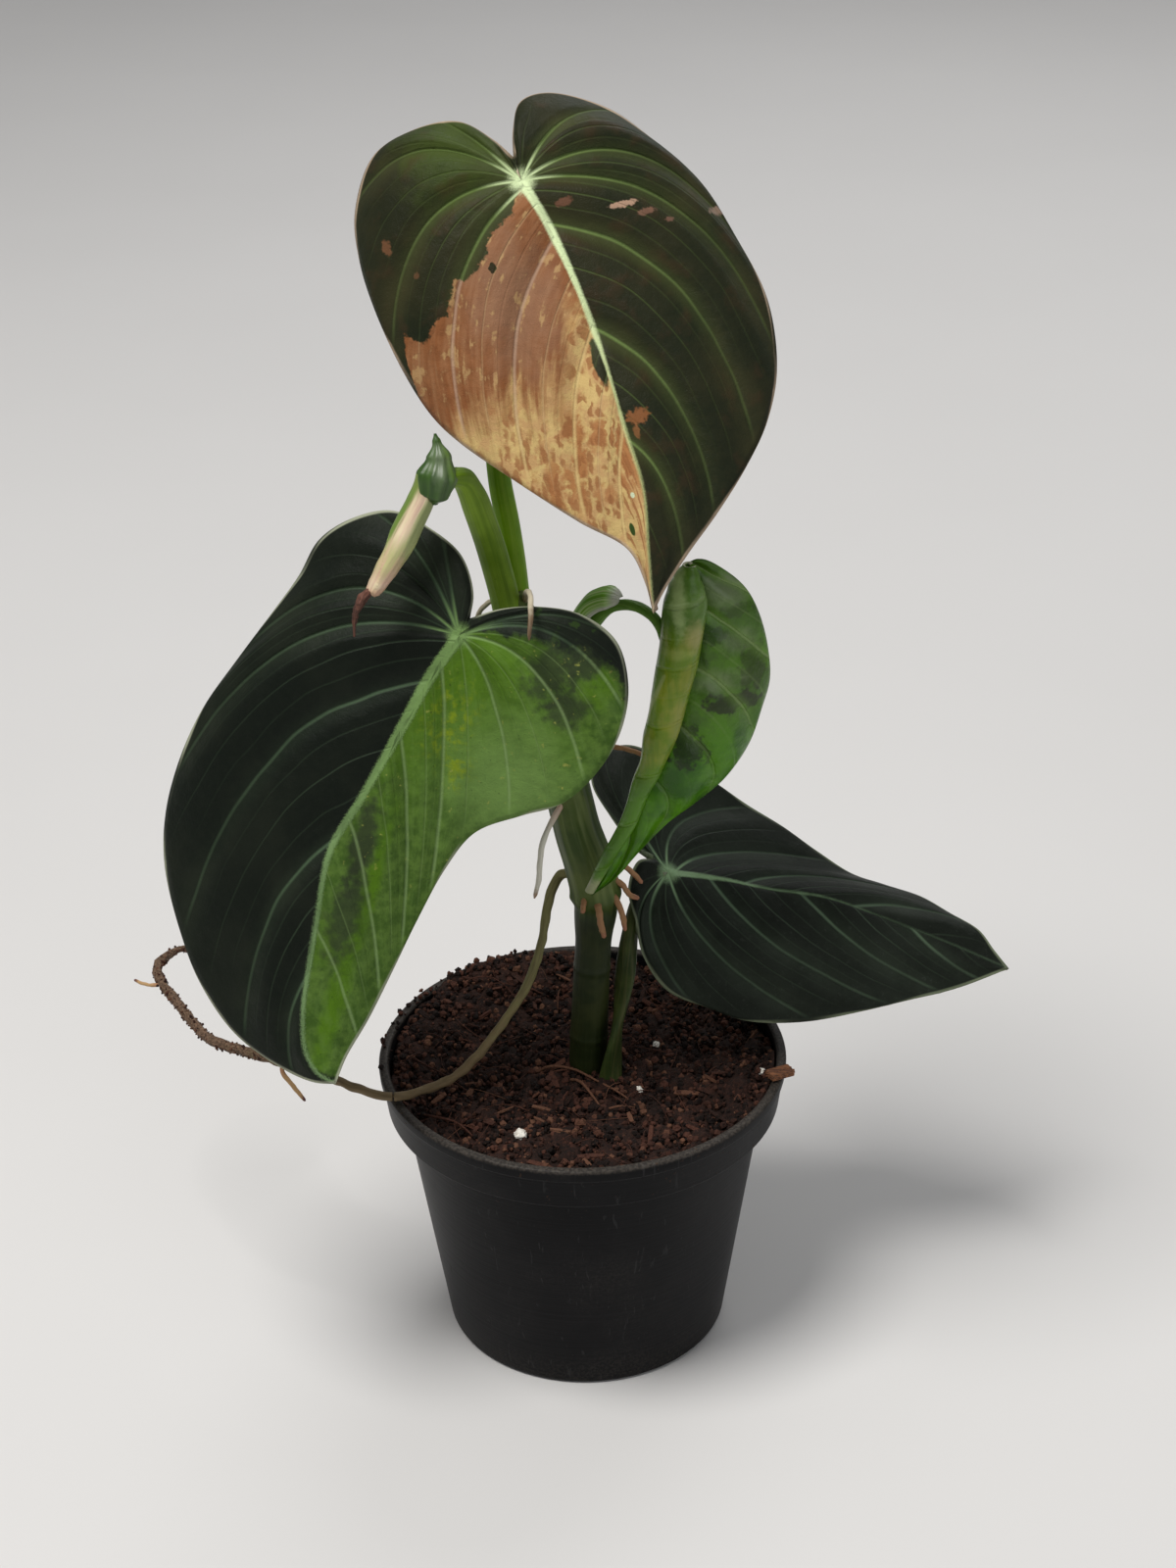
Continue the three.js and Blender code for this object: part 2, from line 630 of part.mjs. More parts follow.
const ROOTS = {
  root_low_1: { route: [[4.5, -4, 145.5], [5.4, -8, 143.8], [5.9, -9.5, 140], [6.9, -10, 135.3]], radius: 1 },
  root_low_2: { route: [[7, -3, 147.5], [10.2, -4.5, 145], [12.2, -6, 140], [12.9, -7, 135.7]], radius: 0.95 },
  root_low_3: { route: [[8, -1.5, 151], [12, -2, 148.3], [14.5, -2.5, 144.9], [17, -3, 144]], radius: 0.9 },
  root_low_4: { route: [[8, 1, 154], [12, 2, 152.4], [15.5, 2.6, 149], [18, 3, 145.5]], radius: 0.85 },
  root_low_5: { route: [[1.5, -4, 146], [1.2, -7, 145], [0.8, -8.5, 142.6]], radius: 0.85 },
  root_white: {
    route: [[-2, -5, 181], [-5.2, -7.5, 176], [-8, -10, 172], [-10, -13, 168], [-10.8, -14.3, 162.5],
      [-11.2, -14.5, 157.7], [-12.6, -13.5, 151]],
    radius: 0.85,
  },
  root_high_1: {
    route: [[-13, -7, 240], [-12.4, -16, 246.5], [-11.4, -25, 250.6], [-11, -31.5, 251.5],
      [-11, -35.3, 249.8], [-11.3, -36.6, 246.5], [-11.6, -36.5, 242.5]],
    radius: 0.8,
  },
  root_high_2: { route: [[-16, -5, 239], [-21, -6, 240], [-25, -6, 237], [-27, -5, 231]], radius: 0.75 },
  root_thin: { route: [[-2, -2, 190], [7, 4, 189.5], [14, 5, 188], [21, 3, 186]], radius: 0.8 },
};

function rootSpec({ route, radius }) {
  return { route, radii: [[0, radius], [0.8, radius * 0.9], [1, radius * 0.35]], ...ROOT };
}

// The pot: one turned wall with a stepped-out collar, on a ring foot with drain holes

function pot() {
  const { height, wall, floor, baseRadius, bodyTopRadius, collarBottom, collarRadius } = POT;
  const outline = [
    [0, 0], [POT.bossRadius, 0], [POT.bossRadius + 1.5, floor / 2],
    [POT.ringInnerRadius - 1.5, floor / 2], [POT.ringInnerRadius, 0],
    [baseRadius - 1, 0], [baseRadius, 1],
    [bodyTopRadius, collarBottom - 1.4], [bodyTopRadius + 0.8, collarBottom - 0.4],
    [collarRadius - 1.2, collarBottom], [collarRadius - 0.4, collarBottom + 0.8],
    [collarRadius + 0.8, height - POT.rimDepth], [POT.rimRadius - 0.2, height - POT.rimDepth + 0.5],
    [POT.rimRadius, height - 0.7], [POT.rimRadius - 0.6, height],
    [POT.rimRadius - 2.4, height], [POT.rimRadius - 3, height - 0.7],
    [collarRadius - wall, collarBottom + 3], [collarRadius - wall - 0.8, collarBottom + 2],
    [bodyTopRadius - 0.6, collarBottom + 1], [bodyTopRadius - wall, collarBottom - 0.4],
    [baseRadius - wall, floor + 0.6], [baseRadius - wall - 0.6, floor], [0, floor],
  ].map(([r, z]) => new THREE.Vector2(r, z));
  const body = new THREE.LatheGeometry(outline, POT.around).rotateX(Math.PI / 2);
  const holes = [];
  for (let i = 0; i < POT.drainHoles; i += 1) {
    const angle = ((i + 0.5) / POT.drainHoles) * Math.PI * 2;
    holes.push(new THREE.CylinderGeometry(POT.drainRadius, POT.drainRadius, 4 * floor, 8)
      .rotateX(Math.PI / 2)
      .translate(Math.cos(angle) * POT.drainCircle, Math.sin(angle) * POT.drainCircle, floor));
  }
  return cutBy(body, ...holes);
}

// The soil: it fills the pot, is mounded at the stem and heaped against the wall at the back
// left and at the right, and carries chips and fibres

function heapAt(x, y) {
  const radius = Math.hypot(x, y);
  const angle = Math.atan2(y, x);
  const mound = SOIL.moundRise * Math.exp(-((radius / 22) ** 2));
  const backLeft = Math.exp(-(((angle - 2.1) / 0.75) ** 2));
  const right = 0.7 * Math.exp(-(((angle + 0.2) / 0.35) ** 2));
  const wall = THREE.MathUtils.smoothstep(radius, 26, 54);
  return SOIL.level + mound + SOIL.heapRise * wall * Math.max(backLeft, right);
}

function soilBody() {
  const random = seeded(7);
  const { around, ringRadii, roughness } = SOIL;
  const wallGap = POT.wall + GAP;
  const profile = [
    [POT.baseRadius - wallGap - 0.7, POT.floor + GAP],
    [POT.bodyTopRadius - wallGap, POT.collarBottom - 0.6],
    [POT.bodyTopRadius - 0.6 - GAP, POT.collarBottom + 1 + GAP],
    [POT.collarRadius - wallGap - 0.9, POT.collarBottom + 2 + GAP],
    [POT.collarRadius - wallGap, POT.collarBottom + 3.4],
  ];
  const edge = POT.collarRadius - wallGap - 0.05;
  const positions = [0, 0, POT.floor + GAP];
  const triangles = [];
  const rings = [
    ...profile.map(([r, z]) => () => [r, z]),
    ...[edge, ...ringRadii].map((r) => (x, y) => [r, heapAt(x * r, y * r) + (random() - 0.5) * 2 * roughness]),
  ];
  for (const ring of rings) {
    for (let k = 0; k < around; k += 1) {
      const [x, y] = [Math.cos((k / around) * Math.PI * 2), Math.sin((k / around) * Math.PI * 2)];
      const [r, z] = ring(x, y);
      positions.push(x * r, y * r, z);
    }
  }
  positions.push(0, 0, heapAt(0, 0));
  const last = positions.length / 3 - 1;
  for (let k = 0; k < around; k += 1) {
    const next = (k + 1) % around;
    triangles.push(0, 1 + next, 1 + k);
    for (let i = 0; i < rings.length - 1; i += 1) {
      const [a, b] = [1 + i * around + k, 1 + i * around + next];
      triangles.push(a, b, b + around, a, b + around, a + around);
    }
    const top = 1 + (rings.length - 1) * around;
    triangles.push(last, top + k, top + next);
  }
  return geometryOf(positions, triangles);
}

// A splinter with uneven corners
function splinter(random, size) {
  const box = new THREE.BoxGeometry(size[0], size[1], size[2]);
  box.deleteAttribute('normal');
  box.deleteAttribute('uv');
  const chip = mergeVertices(box);
  const corner = chip.getAttribute('position');
  for (let i = 0; i < corner.count; i += 1) {
    corner.setXYZ(
      i,
      corner.getX(i) * (0.55 + 0.45 * random()),
      corner.getY(i) * (0.55 + 0.45 * random()),
      corner.getZ(i) * (0.6 + 0.4 * random()),
    );
  }
  return chip;
}

function soil(cutters) {
  const random = seeded(21);
  let solid = solidOf(soilBody());
  for (let i = 0; i < SOIL.chips; i += 1) {
    const angle = random() * Math.PI * 2;
    const radius = 50 * Math.sqrt(0.06 + 0.94 * random());
    const [x, y] = [Math.cos(angle) * radius, Math.sin(angle) * radius];
    const chip = splinter(random, [3 + 7 * random(), 2 + 3 * random(), 2.4])
      .rotateX((random() - 0.5) * 0.7)
      .rotateY((random() - 0.5) * 0.7)
      .rotateZ(random() * Math.PI)
      .translate(x, y, heapAt(x, y) + 0.4);
    solid = solid.add(solidOf(chip));
  }
  const { crumbs, from, to } = SOIL.spill;
  for (let i = 0; i < crumbs; i += 1) {
    const angle = from + (to - from) * ((i + 0.5) / crumbs);
    const radius = POT.collarRadius - 1.5 - random();
    const chip = splinter(random, [7, 3.4, 2.8])
      .rotateZ(angle + (random() - 0.5))
      .translate(Math.cos(angle) * radius, Math.sin(angle) * radius, POT.height + 1.9);
    solid = solid.add(solidOf(chip));
  }
  for (let i = 0; i < SOIL.fibres; i += 1) {
    const angle = random() * Math.PI * 2;
    const radius = 14 + 28 * random();
    const heading = random() * Math.PI * 2;
    const length = 9 + 12 * random();
    const start = [Math.cos(angle) * radius, Math.sin(angle) * radius];
    const route = [-0.5, -0.25, 0, 0.25, 0.5].map((f) => {
      const x = start[0] + Math.cos(heading + f) * length * f;
      const y = start[1] + Math.sin(heading + f) * length * f;
      return [x, y, heapAt(x, y) - 1.6 + 3.4 * Math.cos(Math.PI * f)];
    });
    const fibre = stalk({ route, radii: [[0, 0.5], [1, 0.4]], steps: 5, sides: 4, wide: [0, 0, 1] });
    solid = solid.add(solidOf(fibre));
  }
  for (const cutter of cutters) solid = solid.subtract(solidOf(cutter));
  return geometryFrom(biggestOf(solid));
}

// Loose grains and the bark chip

const PERLITE = {
  perlite_1: { at: [-18, -34], size: [5, 3.6, 3] },
  perlite_2: { at: [16, -14], size: [3.4, 2.8, 2.4] },
  perlite_3: { at: [22, 10], size: [2.4, 2.2, 2] },
  perlite_4: { at: [52, -12], size: [3, 2.4, 2.2] },
};

function grain(size, grow) {
  return new THREE.IcosahedronGeometry(1, 0)
    .scale(size[0] / 2 + grow, size[1] / 2 + grow, size[2] / 2 + grow)
    .rotateZ(size[0]);
}

function grainAt(at, size, grow = 0) {
  return grain(size, grow).translate(at[0], at[1], heapAt(at[0], at[1]) + 0.8);
}

const BARK_CHIP = { size: [9, 5, 2.2], at: [57.5, -15, 91.6], tilt: 0.06, turn: 0.5 };

function barkChip(grow = 0) {
  const { size, at, tilt, turn } = BARK_CHIP;
  return splinter(seeded(5), size.map((length) => length + 2 * grow))
    .rotateY(tilt)
    .rotateZ(turn)
    .translate(at[0], at[1], at[2]);
}

// Assembly

const stemRoom = stalk({ ...STEM, grow: GAP });
const petioleTopRoom = stalk({ ...PETIOLE_TOP, grow: GAP });
const petioleNewRoom = stalk({ ...PETIOLE_NEW, grow: GAP });

addPiece('pot', pot(), PALETTE.potBlack);
addPiece('soil', soil([
  stemRoom,
  stalk({ ...PETIOLE_BACK, grow: GAP }),
  stalk({ ...AERIAL_ROOT, grow: GAP }),
  barkChip(GAP),
  ...Object.values(PERLITE).map(({ at, size }) => grainAt(at, size, GAP)),
]), PALETTE.soilBrown);
for (const [name, { at, size }] of Object.entries(PERLITE)) {
  addPiece(name, grainAt(at, size), PALETTE.perliteWhite);
}
addPiece('bark_chip', barkChip(), PALETTE.barkOrange);

addPiece('stem', stalk(STEM), PALETTE.stemGreen);
addPiece('petiole_top', cutBy(stalk(PETIOLE_TOP), stemRoom, heartBlade(LEAF_TOP, GAP)), PALETTE.petioleGreen);
addPiece(
  'petiole_new',
  cutBy(stalk(PETIOLE_NEW), stemRoom, petioleTopRoom, newLeaf(GAP)),
  PALETTE.petioleGreen,
);
addPiece(
  'petiole_front',
  cutBy(stalk(PETIOLE_FRONT), stemRoom, heartBlade(LEAF_FRONT, GAP)),
  PALETTE.petioleGreen,
);
addPiece(
  'petiole_young',
  cutBy(joined(stalk(PETIOLE_YOUNG), sheath(SHEATH_YOUNG)), stemRoom, youngBlade(GAP)),
  PALETTE.petioleGreen,
);
addPiece(
  'petiole_back',
  cutBy(stalk(PETIOLE_BACK), stemRoom, heartBlade(LEAF_BACK, GAP)),
  PALETTE.petioleGreen,
);

addPiece('leaf_top', heartBlade(LEAF_TOP), PALETTE.velvetDark);
addPiece('leaf_front', heartBlade(LEAF_FRONT), PALETTE.velvetBlue);
addPiece('leaf_back', heartBlade(LEAF_BACK), PALETTE.velvetBlue);
addPiece('leaf_young', youngBlade(), PALETTE.youngGreen);
addPiece('leaf_new', newLeaf(), PALETTE.newBlush);

const aerialRoot = joined(stalk(AERIAL_ROOT), ...AERIAL_ROOTLETS.map((rootlet) => stalk(rootSpec(rootlet))));
addPiece('aerial_root', cutBy(aerialRoot, stemRoom), PALETTE.rootBrown);
for (const [name, spec] of Object.entries(ROOTS)) {
  const look = name === 'root_white' ? PALETTE.rootWhite : PALETTE.rootBrown;
  addPiece(name, cutBy(stalk(rootSpec(spec)), stemRoom, petioleTopRoom, petioleNewRoom), look);
}

export default group;
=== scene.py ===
"""A young black gold philodendron in a round black nursery pot.

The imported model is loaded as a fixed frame, and each piece made here stands for one of its
nodes. Points and sizes are in millimetres, +Z up, with the viewer at -Y and the origin at the
middle of the pot's underside. They become metres where a mesh is made.
"""

import math
import random
from contextlib import contextmanager

import bpy
import numpy as np
from mathutils import Matrix, Vector


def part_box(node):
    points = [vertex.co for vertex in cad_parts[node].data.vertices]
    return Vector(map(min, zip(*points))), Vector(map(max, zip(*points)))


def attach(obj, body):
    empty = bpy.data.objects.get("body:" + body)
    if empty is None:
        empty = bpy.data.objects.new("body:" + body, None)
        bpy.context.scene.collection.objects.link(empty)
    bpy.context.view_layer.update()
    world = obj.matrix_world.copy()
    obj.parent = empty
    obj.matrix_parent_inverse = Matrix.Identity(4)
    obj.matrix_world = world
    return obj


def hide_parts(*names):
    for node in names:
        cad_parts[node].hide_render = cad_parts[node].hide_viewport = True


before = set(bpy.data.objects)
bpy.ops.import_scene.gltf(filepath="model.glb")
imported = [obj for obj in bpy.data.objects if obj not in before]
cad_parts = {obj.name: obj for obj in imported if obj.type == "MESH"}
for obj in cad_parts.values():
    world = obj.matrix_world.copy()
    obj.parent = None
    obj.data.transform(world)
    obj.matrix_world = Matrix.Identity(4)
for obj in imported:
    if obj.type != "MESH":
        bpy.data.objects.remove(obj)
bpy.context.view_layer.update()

bl_info = {
    "name": "Black gold philodendron",
    "version": (1, 0, 0),
    "blender": (4, 5, 0),
    "location": "3D View > Sidebar > Plant",
    "description": "Builds a young black gold philodendron in its nursery pot around a packed model",
    "category": "Add Mesh",
}

MM = 0.001
BODY = "root"
TURN = 2 * math.pi
FINEST = 5.0  # the finest noise that shows, in waves per millimetre
NUDGE = 0.004  # the small step along a line that its direction is taken over
SEEDS = {
    "soil": 7, "clinging_soil": 9, "crumb": 11, "sliver": 12, "clinging_crumb": 14, "long_root": 21,
    "thread": 23, "rootlet": 25, "bark": 31, "grain": 40, "root": 50,
}


# Shapes in numbers


def smooth_line(points, per_span=40):
    """A smooth line through points, as a function of the share of its length"""
    stops = [np.array(point, float) for point in points]
    stops = [2 * stops[0] - stops[1], *stops, 2 * stops[-1] - stops[-2]]
    pieces = []
    for i in range(1, len(stops) - 2):
        p0, p1, p2, p3 = four = stops[i - 1:i + 3]
        d0, d1, d2 = [max(1e-4, np.linalg.norm(b - a) ** 0.5) for a, b in zip(four, four[1:])]
        start = ((p1 - p0) / d0 - (p2 - p0) / (d0 + d1) + (p2 - p1) / d1) * d1
        end = ((p2 - p1) / d1 - (p3 - p1) / (d1 + d2) + (p3 - p2) / d2) * d1
        f = np.linspace(0, 1, per_span, endpoint=i == len(stops) - 3)[:, None]
        second, third = 3 * (p2 - p1) - 2 * start - end, 2 * (p1 - p2) + start + end
        pieces.append(p1 + start * f + second * f ** 2 + third * f ** 3)
    line = np.vstack(pieces)
    lengths = np.concatenate([[0], np.cumsum(np.linalg.norm(np.diff(line, axis=0), axis=1))])

    def at(share):
        where = np.asarray(share) * lengths[-1]
        return np.stack([np.interp(where, lengths, line[:, axis]) for axis in range(3)], axis=-1)

    at.length = lengths[-1]
    return at


def along(stops, share):
    """The value at share of a list of (share, value) stops, eased between them"""
    shares, values = zip(*stops)
    share = np.clip(share, shares[0], shares[-1])
    index = np.clip(np.searchsorted(shares, share) - 1, 0, len(shares) - 2)
    shares, values = np.array(shares), np.array(values, float)
    f = (share - shares[index]) / (shares[index + 1] - shares[index])
    return values[index] + (values[index + 1] - values[index]) * f * f * (3 - 2 * f)


def ease(value, low, high):
    """0 up to low, 1 from high, and smooth between them"""
    f = np.clip((np.asarray(value, float) - low) / (high - low), 0, 1)
    return f * f * (3 - 2 * f)


def unit(vector):
    vector = np.asarray(vector, float)
    return vector / np.linalg.norm(vector, axis=-1, keepdims=True)


def tangent_of(line, share, step=NUDGE):
    """The direction of a line at each share of its length"""
    return unit(line(np.clip(share + step, 0, 1)) - line(np.clip(share - step, 0, 1)))


def square_to(tangent, wide):
    """The part of a direction that lies square to each tangent"""
    return unit(wide - (tangent @ wide)[:, None] * tangent)


def ripple(points, size, seed, waves=24):
    """A smooth random height from about -1 to 1, with features of that size, at each point"""
    draw = np.random.default_rng(seed)
    headings = unit(draw.normal(size=(waves, 3))) * TURN / size * draw.uniform(0.6, 1.5, (waves, 1))
    phases = draw.uniform(0, TURN, waves)
    return np.sin(points @ headings.T + phases).sum(axis=1) / math.sqrt(waves)


def nearest(points, line):
    """How far each point lies from the nearest point of a finely drawn line"""
    return np.sqrt(((points[:, None, :] - line[None, :, :]) ** 2).sum(axis=2).min(axis=1))


# Meshes


def deselect():
    if bpy.context.object and bpy.context.object.mode != "OBJECT":
        bpy.ops.object.mode_set(mode="OBJECT")
    bpy.ops.object.select_all(action="DESELECT")


def pick(*pieces):
    deselect()
    for piece in pieces:
        piece.select_set(True)
    bpy.context.view_layer.objects.active = pieces[0]


def named(piece, name):
    piece.name = name
    piece.data.name = name
    return piece


def read(rows, name, width=1, kind=float):
    """One attribute of every row of a mesh's table"""
    values = np.empty(len(rows) * width, kind)
    rows.foreach_get(name, values)
    return values.reshape(-1, width) if width > 1 else values


def added(name, primitive, **options):
    """Adds a primitive and names it"""
    deselect()
    primitive(**options)
    return named(bpy.context.object, name)


def points_of(piece):
    return read(piece.data.vertices, "co", 3) / MM


def move_points(piece, points):
    piece.data.vertices.foreach_set("co", (np.asarray(points) * MM).ravel())
    piece.data.update()


def mark(piece, name, values):
    """Stores a number at each point of a piece, for its finish to read"""
    layer = piece.data.attributes.new(name, "FLOAT", "POINT")
    layer.data.foreach_set("value", np.asarray(values, np.float32))


def corners(piece):
    """The point that each corner of the piece's faces lies at"""
    return read(piece.data.loops, "vertex_index", kind=int)


def chart(piece, name, across, up):
    """Stores a pair of numbers at each corner, as a UV map"""
    layer = piece.data.uv_layers.new(name=name)
    layer.data.foreach_set("uv", np.stack([across, up], axis=1).astype(np.float32).ravel())


def grid(name, rows, columns):
    """A flat grid, with the share along its rows and its columns at each point"""
    piece = added(
        name, bpy.ops.mesh.primitive_grid_add, x_subdivisions=rows, y_subdivisions=columns, size=1,
        calc_uvs=False,
    )
    points = points_of(piece) * MM
    return piece, np.round(points[:, 0] + 0.5, 6), np.round(points[:, 1] + 0.5, 6)


@contextmanager
def editing(piece):
    """Edit mode, with the whole piece selected"""
    pick(piece)
    bpy.ops.object.mode_set(mode="EDIT")
    bpy.ops.mesh.select_all(action="SELECT")
    yield
    bpy.ops.object.mode_set(mode="OBJECT")


def weld(piece, distance=0.002, outward=True):
    """Merges the points that meet and turns the faces outwards"""
    with editing(piece):
        bpy.ops.mesh.remove_doubles(threshold=distance * MM)
        bpy.ops.mesh.dissolve_degenerate(threshold=1e-7)
        if outward:
            bpy.ops.mesh.normals_make_consistent(inside=False)


def face_towards(piece, direction):
    """Turns an open surface so that its faces look mostly along direction"""
    if (read(piece.data.polygons, "normal", 3) @ unit(direction)).sum() < 0:
        with editing(piece):
            bpy.ops.mesh.flip_normals()


def add_modifier(piece, kind, **options):
    """Adds a modifier and applies it"""
    modifier = piece.modifiers.new(kind.title(), kind)
    for name, value in options.items():
        setattr(modifier, name, value)
    pick(piece)
    bpy.ops.object.modifier_apply(modifier=modifier.name)


def thicken(piece, millimetres, **options):
    """Gives an open surface a back and a rim, behind the faces that it has"""
    add_modifier(piece, "SOLIDIFY", thickness=millimetres * MM, offset=-1, use_rim=True, **options)


def smooth(piece, angle=None):
    pick(piece)
    if angle is None:
        bpy.ops.object.shade_smooth()
    else:
        bpy.ops.object.shade_smooth_by_angle(angle=math.radians(angle))


def join(name, *pieces):
    pick(*pieces)
    bpy.ops.object.join()
    return named(bpy.context.object, name)


def dress(piece, *materials):
    piece.data.materials.clear()
    for material in materials:
        piece.data.materials.append(material)


def hand_over(piece, slot, node, *materials):
    """Dresses the piece, puts it under the body and hides the model's part for the node that it stands
    for. The slot is not used.
    """
    if materials:
        dress(piece, *materials)
    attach(piece, BODY)
    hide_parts(node)


# Finishes


def shade(tone, share):
    """A tone made darker or lighter"""
    return tuple(share * part for part in tone)


def sign(operation, swapped=False):
    """A method that adds a Math node for a sign written between two values"""
    def method(self, other):
        return self.maths(operation, *((other, self) if swapped else (self, other)))
    return method


class Wire:
    """A value in a finish. Signs written between wires and numbers add the Math nodes."""

    def __init__(self, finish, socket):
        self.finish = finish
        self.socket = socket

    def maths(self, operation, *values):
        return self.finish.node("Math", {"operation": operation}, dict(enumerate(values)))

    __add__ = __radd__ = sign("ADD")
    __sub__ = sign("SUBTRACT")
    __rsub__ = sign("SUBTRACT", swapped=True)
    __mul__ = __rmul__ = sign("MULTIPLY")
    __truediv__ = sign("DIVIDE")
    __or__ = sign("MAXIMUM")

    def __abs__(self):
        return self.maths("ABSOLUTE", self)

    def fold(self, span):
        """The distance to the nearest multiple of twice span"""
        return self.maths("PINGPONG", self, span)

    def rise(self, low, high):
        """0 up to low, 1 from high, and smooth between them; low may be the larger"""
        options = {"interpolation_type": "SMOOTHSTEP"}
        return self.finish.node("MapRange", options, {0: self, 1: low, 2: high, 3: 0.0, 4: 1.0})

    def output(self, number):
        """Another output of the node that the value comes from"""
        return Wire(self.finish, self.socket.node.outputs[number])


class Finish:
    """A material while it is being mixed"""

    def __init__(self, name):
        self.material = bpy.data.materials.new(name)
        self.material.use_nodes = True
        self.tree = self.material.node_tree
        self.shader = self.tree.nodes["Principled BSDF"]
        self.noises = {}
        self.place = self.on_vector("SCALE", self.node("TexCoord", output=3), {3: 1 / MM})

    def node(self, kind, options=None, inputs=None, output=0):
        """Adds a node: its options first, and then the values or wires of its sockets"""
        made = self.tree.nodes.new("ShaderNode" + kind)
        for name, value in (options or {}).items():
            setattr(made, name, value)
        for name, value in (inputs or {}).items():
            self.feed(made.inputs[name], value)
        return Wire(self, made.outputs[output])

    def on_vector(self, operation, vector, inputs=None, output=0):
        return self.node("VectorMath", {"operation": operation}, {0: vector, **(inputs or {})}, output)

    def feed(self, socket, value):
        if isinstance(value, Wire):
            self.tree.links.new(value.socket, socket)
        elif socket.type == "RGBA" and len(value) == 3:
            socket.default_value = (*value, 1)
        else:
            socket.default_value = value

    def surface(self, colour, roughness, height=None, strength=0.9, specular=0.5, **more):
        """Ends the finish: its relief in millimetres, and more sockets, named with _ for a space"""
        inputs = {"Base_Color": colour, "Roughness": roughness, "Specular_IOR_Level": specular, **more}
        if height:
            relief = {"Strength": strength, "Distance": MM, "Height": height}
            inputs["Normal"] = self.node("Bump", None, relief)
        for name, value in inputs.items():
            self.feed(self.shader.inputs[name.replace("_", " ")], value)
        return self.material

    def parts(self, vector):
        """The three parts of a vector"""
        first = self.node("SeparateXYZ", None, {0: vector})
        return [first.output(number) for number in range(3)]

    def chart(self, name):
        """The two numbers of a UV map"""
        return self.parts(self.node("UVMap", {"uv_map": name}))[:2]

    def mark(self, name):
        return self.node("Attribute", {"attribute_name": name}, output=2)

    def vector(self, x, y, z=0.0):
        return self.node("CombineXYZ", None, {0: x, 1: y, 2: z})

    def stretch(self, vector, x, y, z):
        return self.on_vector("MULTIPLY", vector, {1: (x, y, z)})

    def length(self, vector):
        return self.on_vector("LENGTH", vector, output=1)

    def noise(self, scale, detail=3.0, roughness=0.55, distortion=0.0, where=None):
        """Noise without octaves too fine to see, read from one node wherever it is asked for again"""
        where = where or self.place
        detail = min(detail, max(0.0, math.log2(FINEST / scale)))
        asked = (where.socket, scale, detail, roughness, distortion)
        if asked not in self.noises:
            names = ("Vector", "Scale", "Detail", "Roughness", "Distortion")
            inputs = dict(zip(names, (where, *asked[1:])))
            self.noises[asked] = self.node("TexNoise", None, inputs)
        return self.noises[asked]

    def cells(self, where, scale, feature="F1"):
        return self.node("TexVoronoi", {"feature": feature}, {"Vector": where, "Scale": scale})

    def spots(self, where, share, size, soft):
        """Separate ragged spots, one or none in each cell of a pattern"""
        near = self.cells(where, 1.0)
        chance = self.parts(near.output(1))[0]
        ragged = (self.noise(2.2, 2.0, where=where) - 0.5) * 0.3
        return (near + ragged).rise(size + soft, size - soft) * chance.rise(share + 0.01, share - 0.01)

    def mix(self, share, first, second):
        return self.node("Mix", {"data_type": "RGBA"}, {0: share, 6: first, 7: second}, 2)

    def curve(self, value, stops):
        """A number read off a list of (place, number) stops"""
        read_off = self.node("ValToRGB", None, {0: value})
        elements = read_off.socket.node.color_ramp.elements
        while len(elements) < len(stops):
            elements.new(1.0)
        for element, (position, number) in zip(elements, stops):
            element.position = position
            element.color = (number, number, number, 1)
        return read_off

    def blob(self, where, centre, radii, ragged=0.25, soft=0.15, scale=0.6):
        """1 inside a ragged spot round centre, and 0 outside it"""
        offset = self.on_vector("SUBTRACT", where, {1: (*centre, 0)})
        reach = self.length(self.stretch(offset, 1 / radii[0], 1 / radii[1], 0))
        edge = reach + (self.noise(scale) - 0.5) * (4 * ragged)
        return edge.rise(1 + soft, 1 - soft)

    def patches(self, colour, where, edge, spots, tone=None, within=None):
        """Lays blobs of (centre, radii, strength) over a colour, each in its own tone or all in one"""
        for centre, radii, share, *own in spots:
            share = self.blob(where, centre, radii, *edge) * share
            if within:
                share = share * within
            colour = self.mix(share, colour, tone or own[0])
        return colour


# What a user would change


def colour_setting(name, red, green, blue, description):
    return bpy.props.FloatVectorProperty(
        name=name, description=description, default=(red, green, blue),
        subtype="COLOR", size=3, min=0, max=1,
    )


def length_setting(name, millimetres, description):
    default = millimetres * MM
    return bpy.props.FloatProperty(name=name, description=description, default=default, unit="LENGTH")


def count_setting(name, default, description, least=0):
    return bpy.props.IntProperty(name=name, description=description, default=default, min=least)


class PotSettings(bpy.types.PropertyGroup):
    """The nursery pot"""

    floor: length_setting("Floor", 3, "Thickness of the pot's floor")
    sides: count_setting("Sides", 160, "Steps round the pot", 40)
    plastic: colour_setting("Plastic", 0.005, 0.005, 0.0055, "Black of the moulded pot")
    # This tone also paints the highlight along the top of the rim
    dust: colour_setting("Dust", 0.20, 0.17, 0.14, "Dried splashes and dust on the pot")


class SoilSettings(bpy.types.PropertyGroup):
    """The potting mix"""

    level: length_setting("Level", 84, "Height of the soil above the table")
    crumbs: count_setting("Crumbs", 5200, "Loose crumbs on the soil")
    chips: count_setting("Chips", 90, "Slivers of husk on the soil")
    fibres: count_setting("Fibres", 90, "Coir fibres on the soil")
    dark: colour_setting("Peat", 0.008, 0.0045, 0.0035, "Damp peat")
    husk: colour_setting("Husk", 0.078, 0.030, 0.019, "Reddish husk and coir")


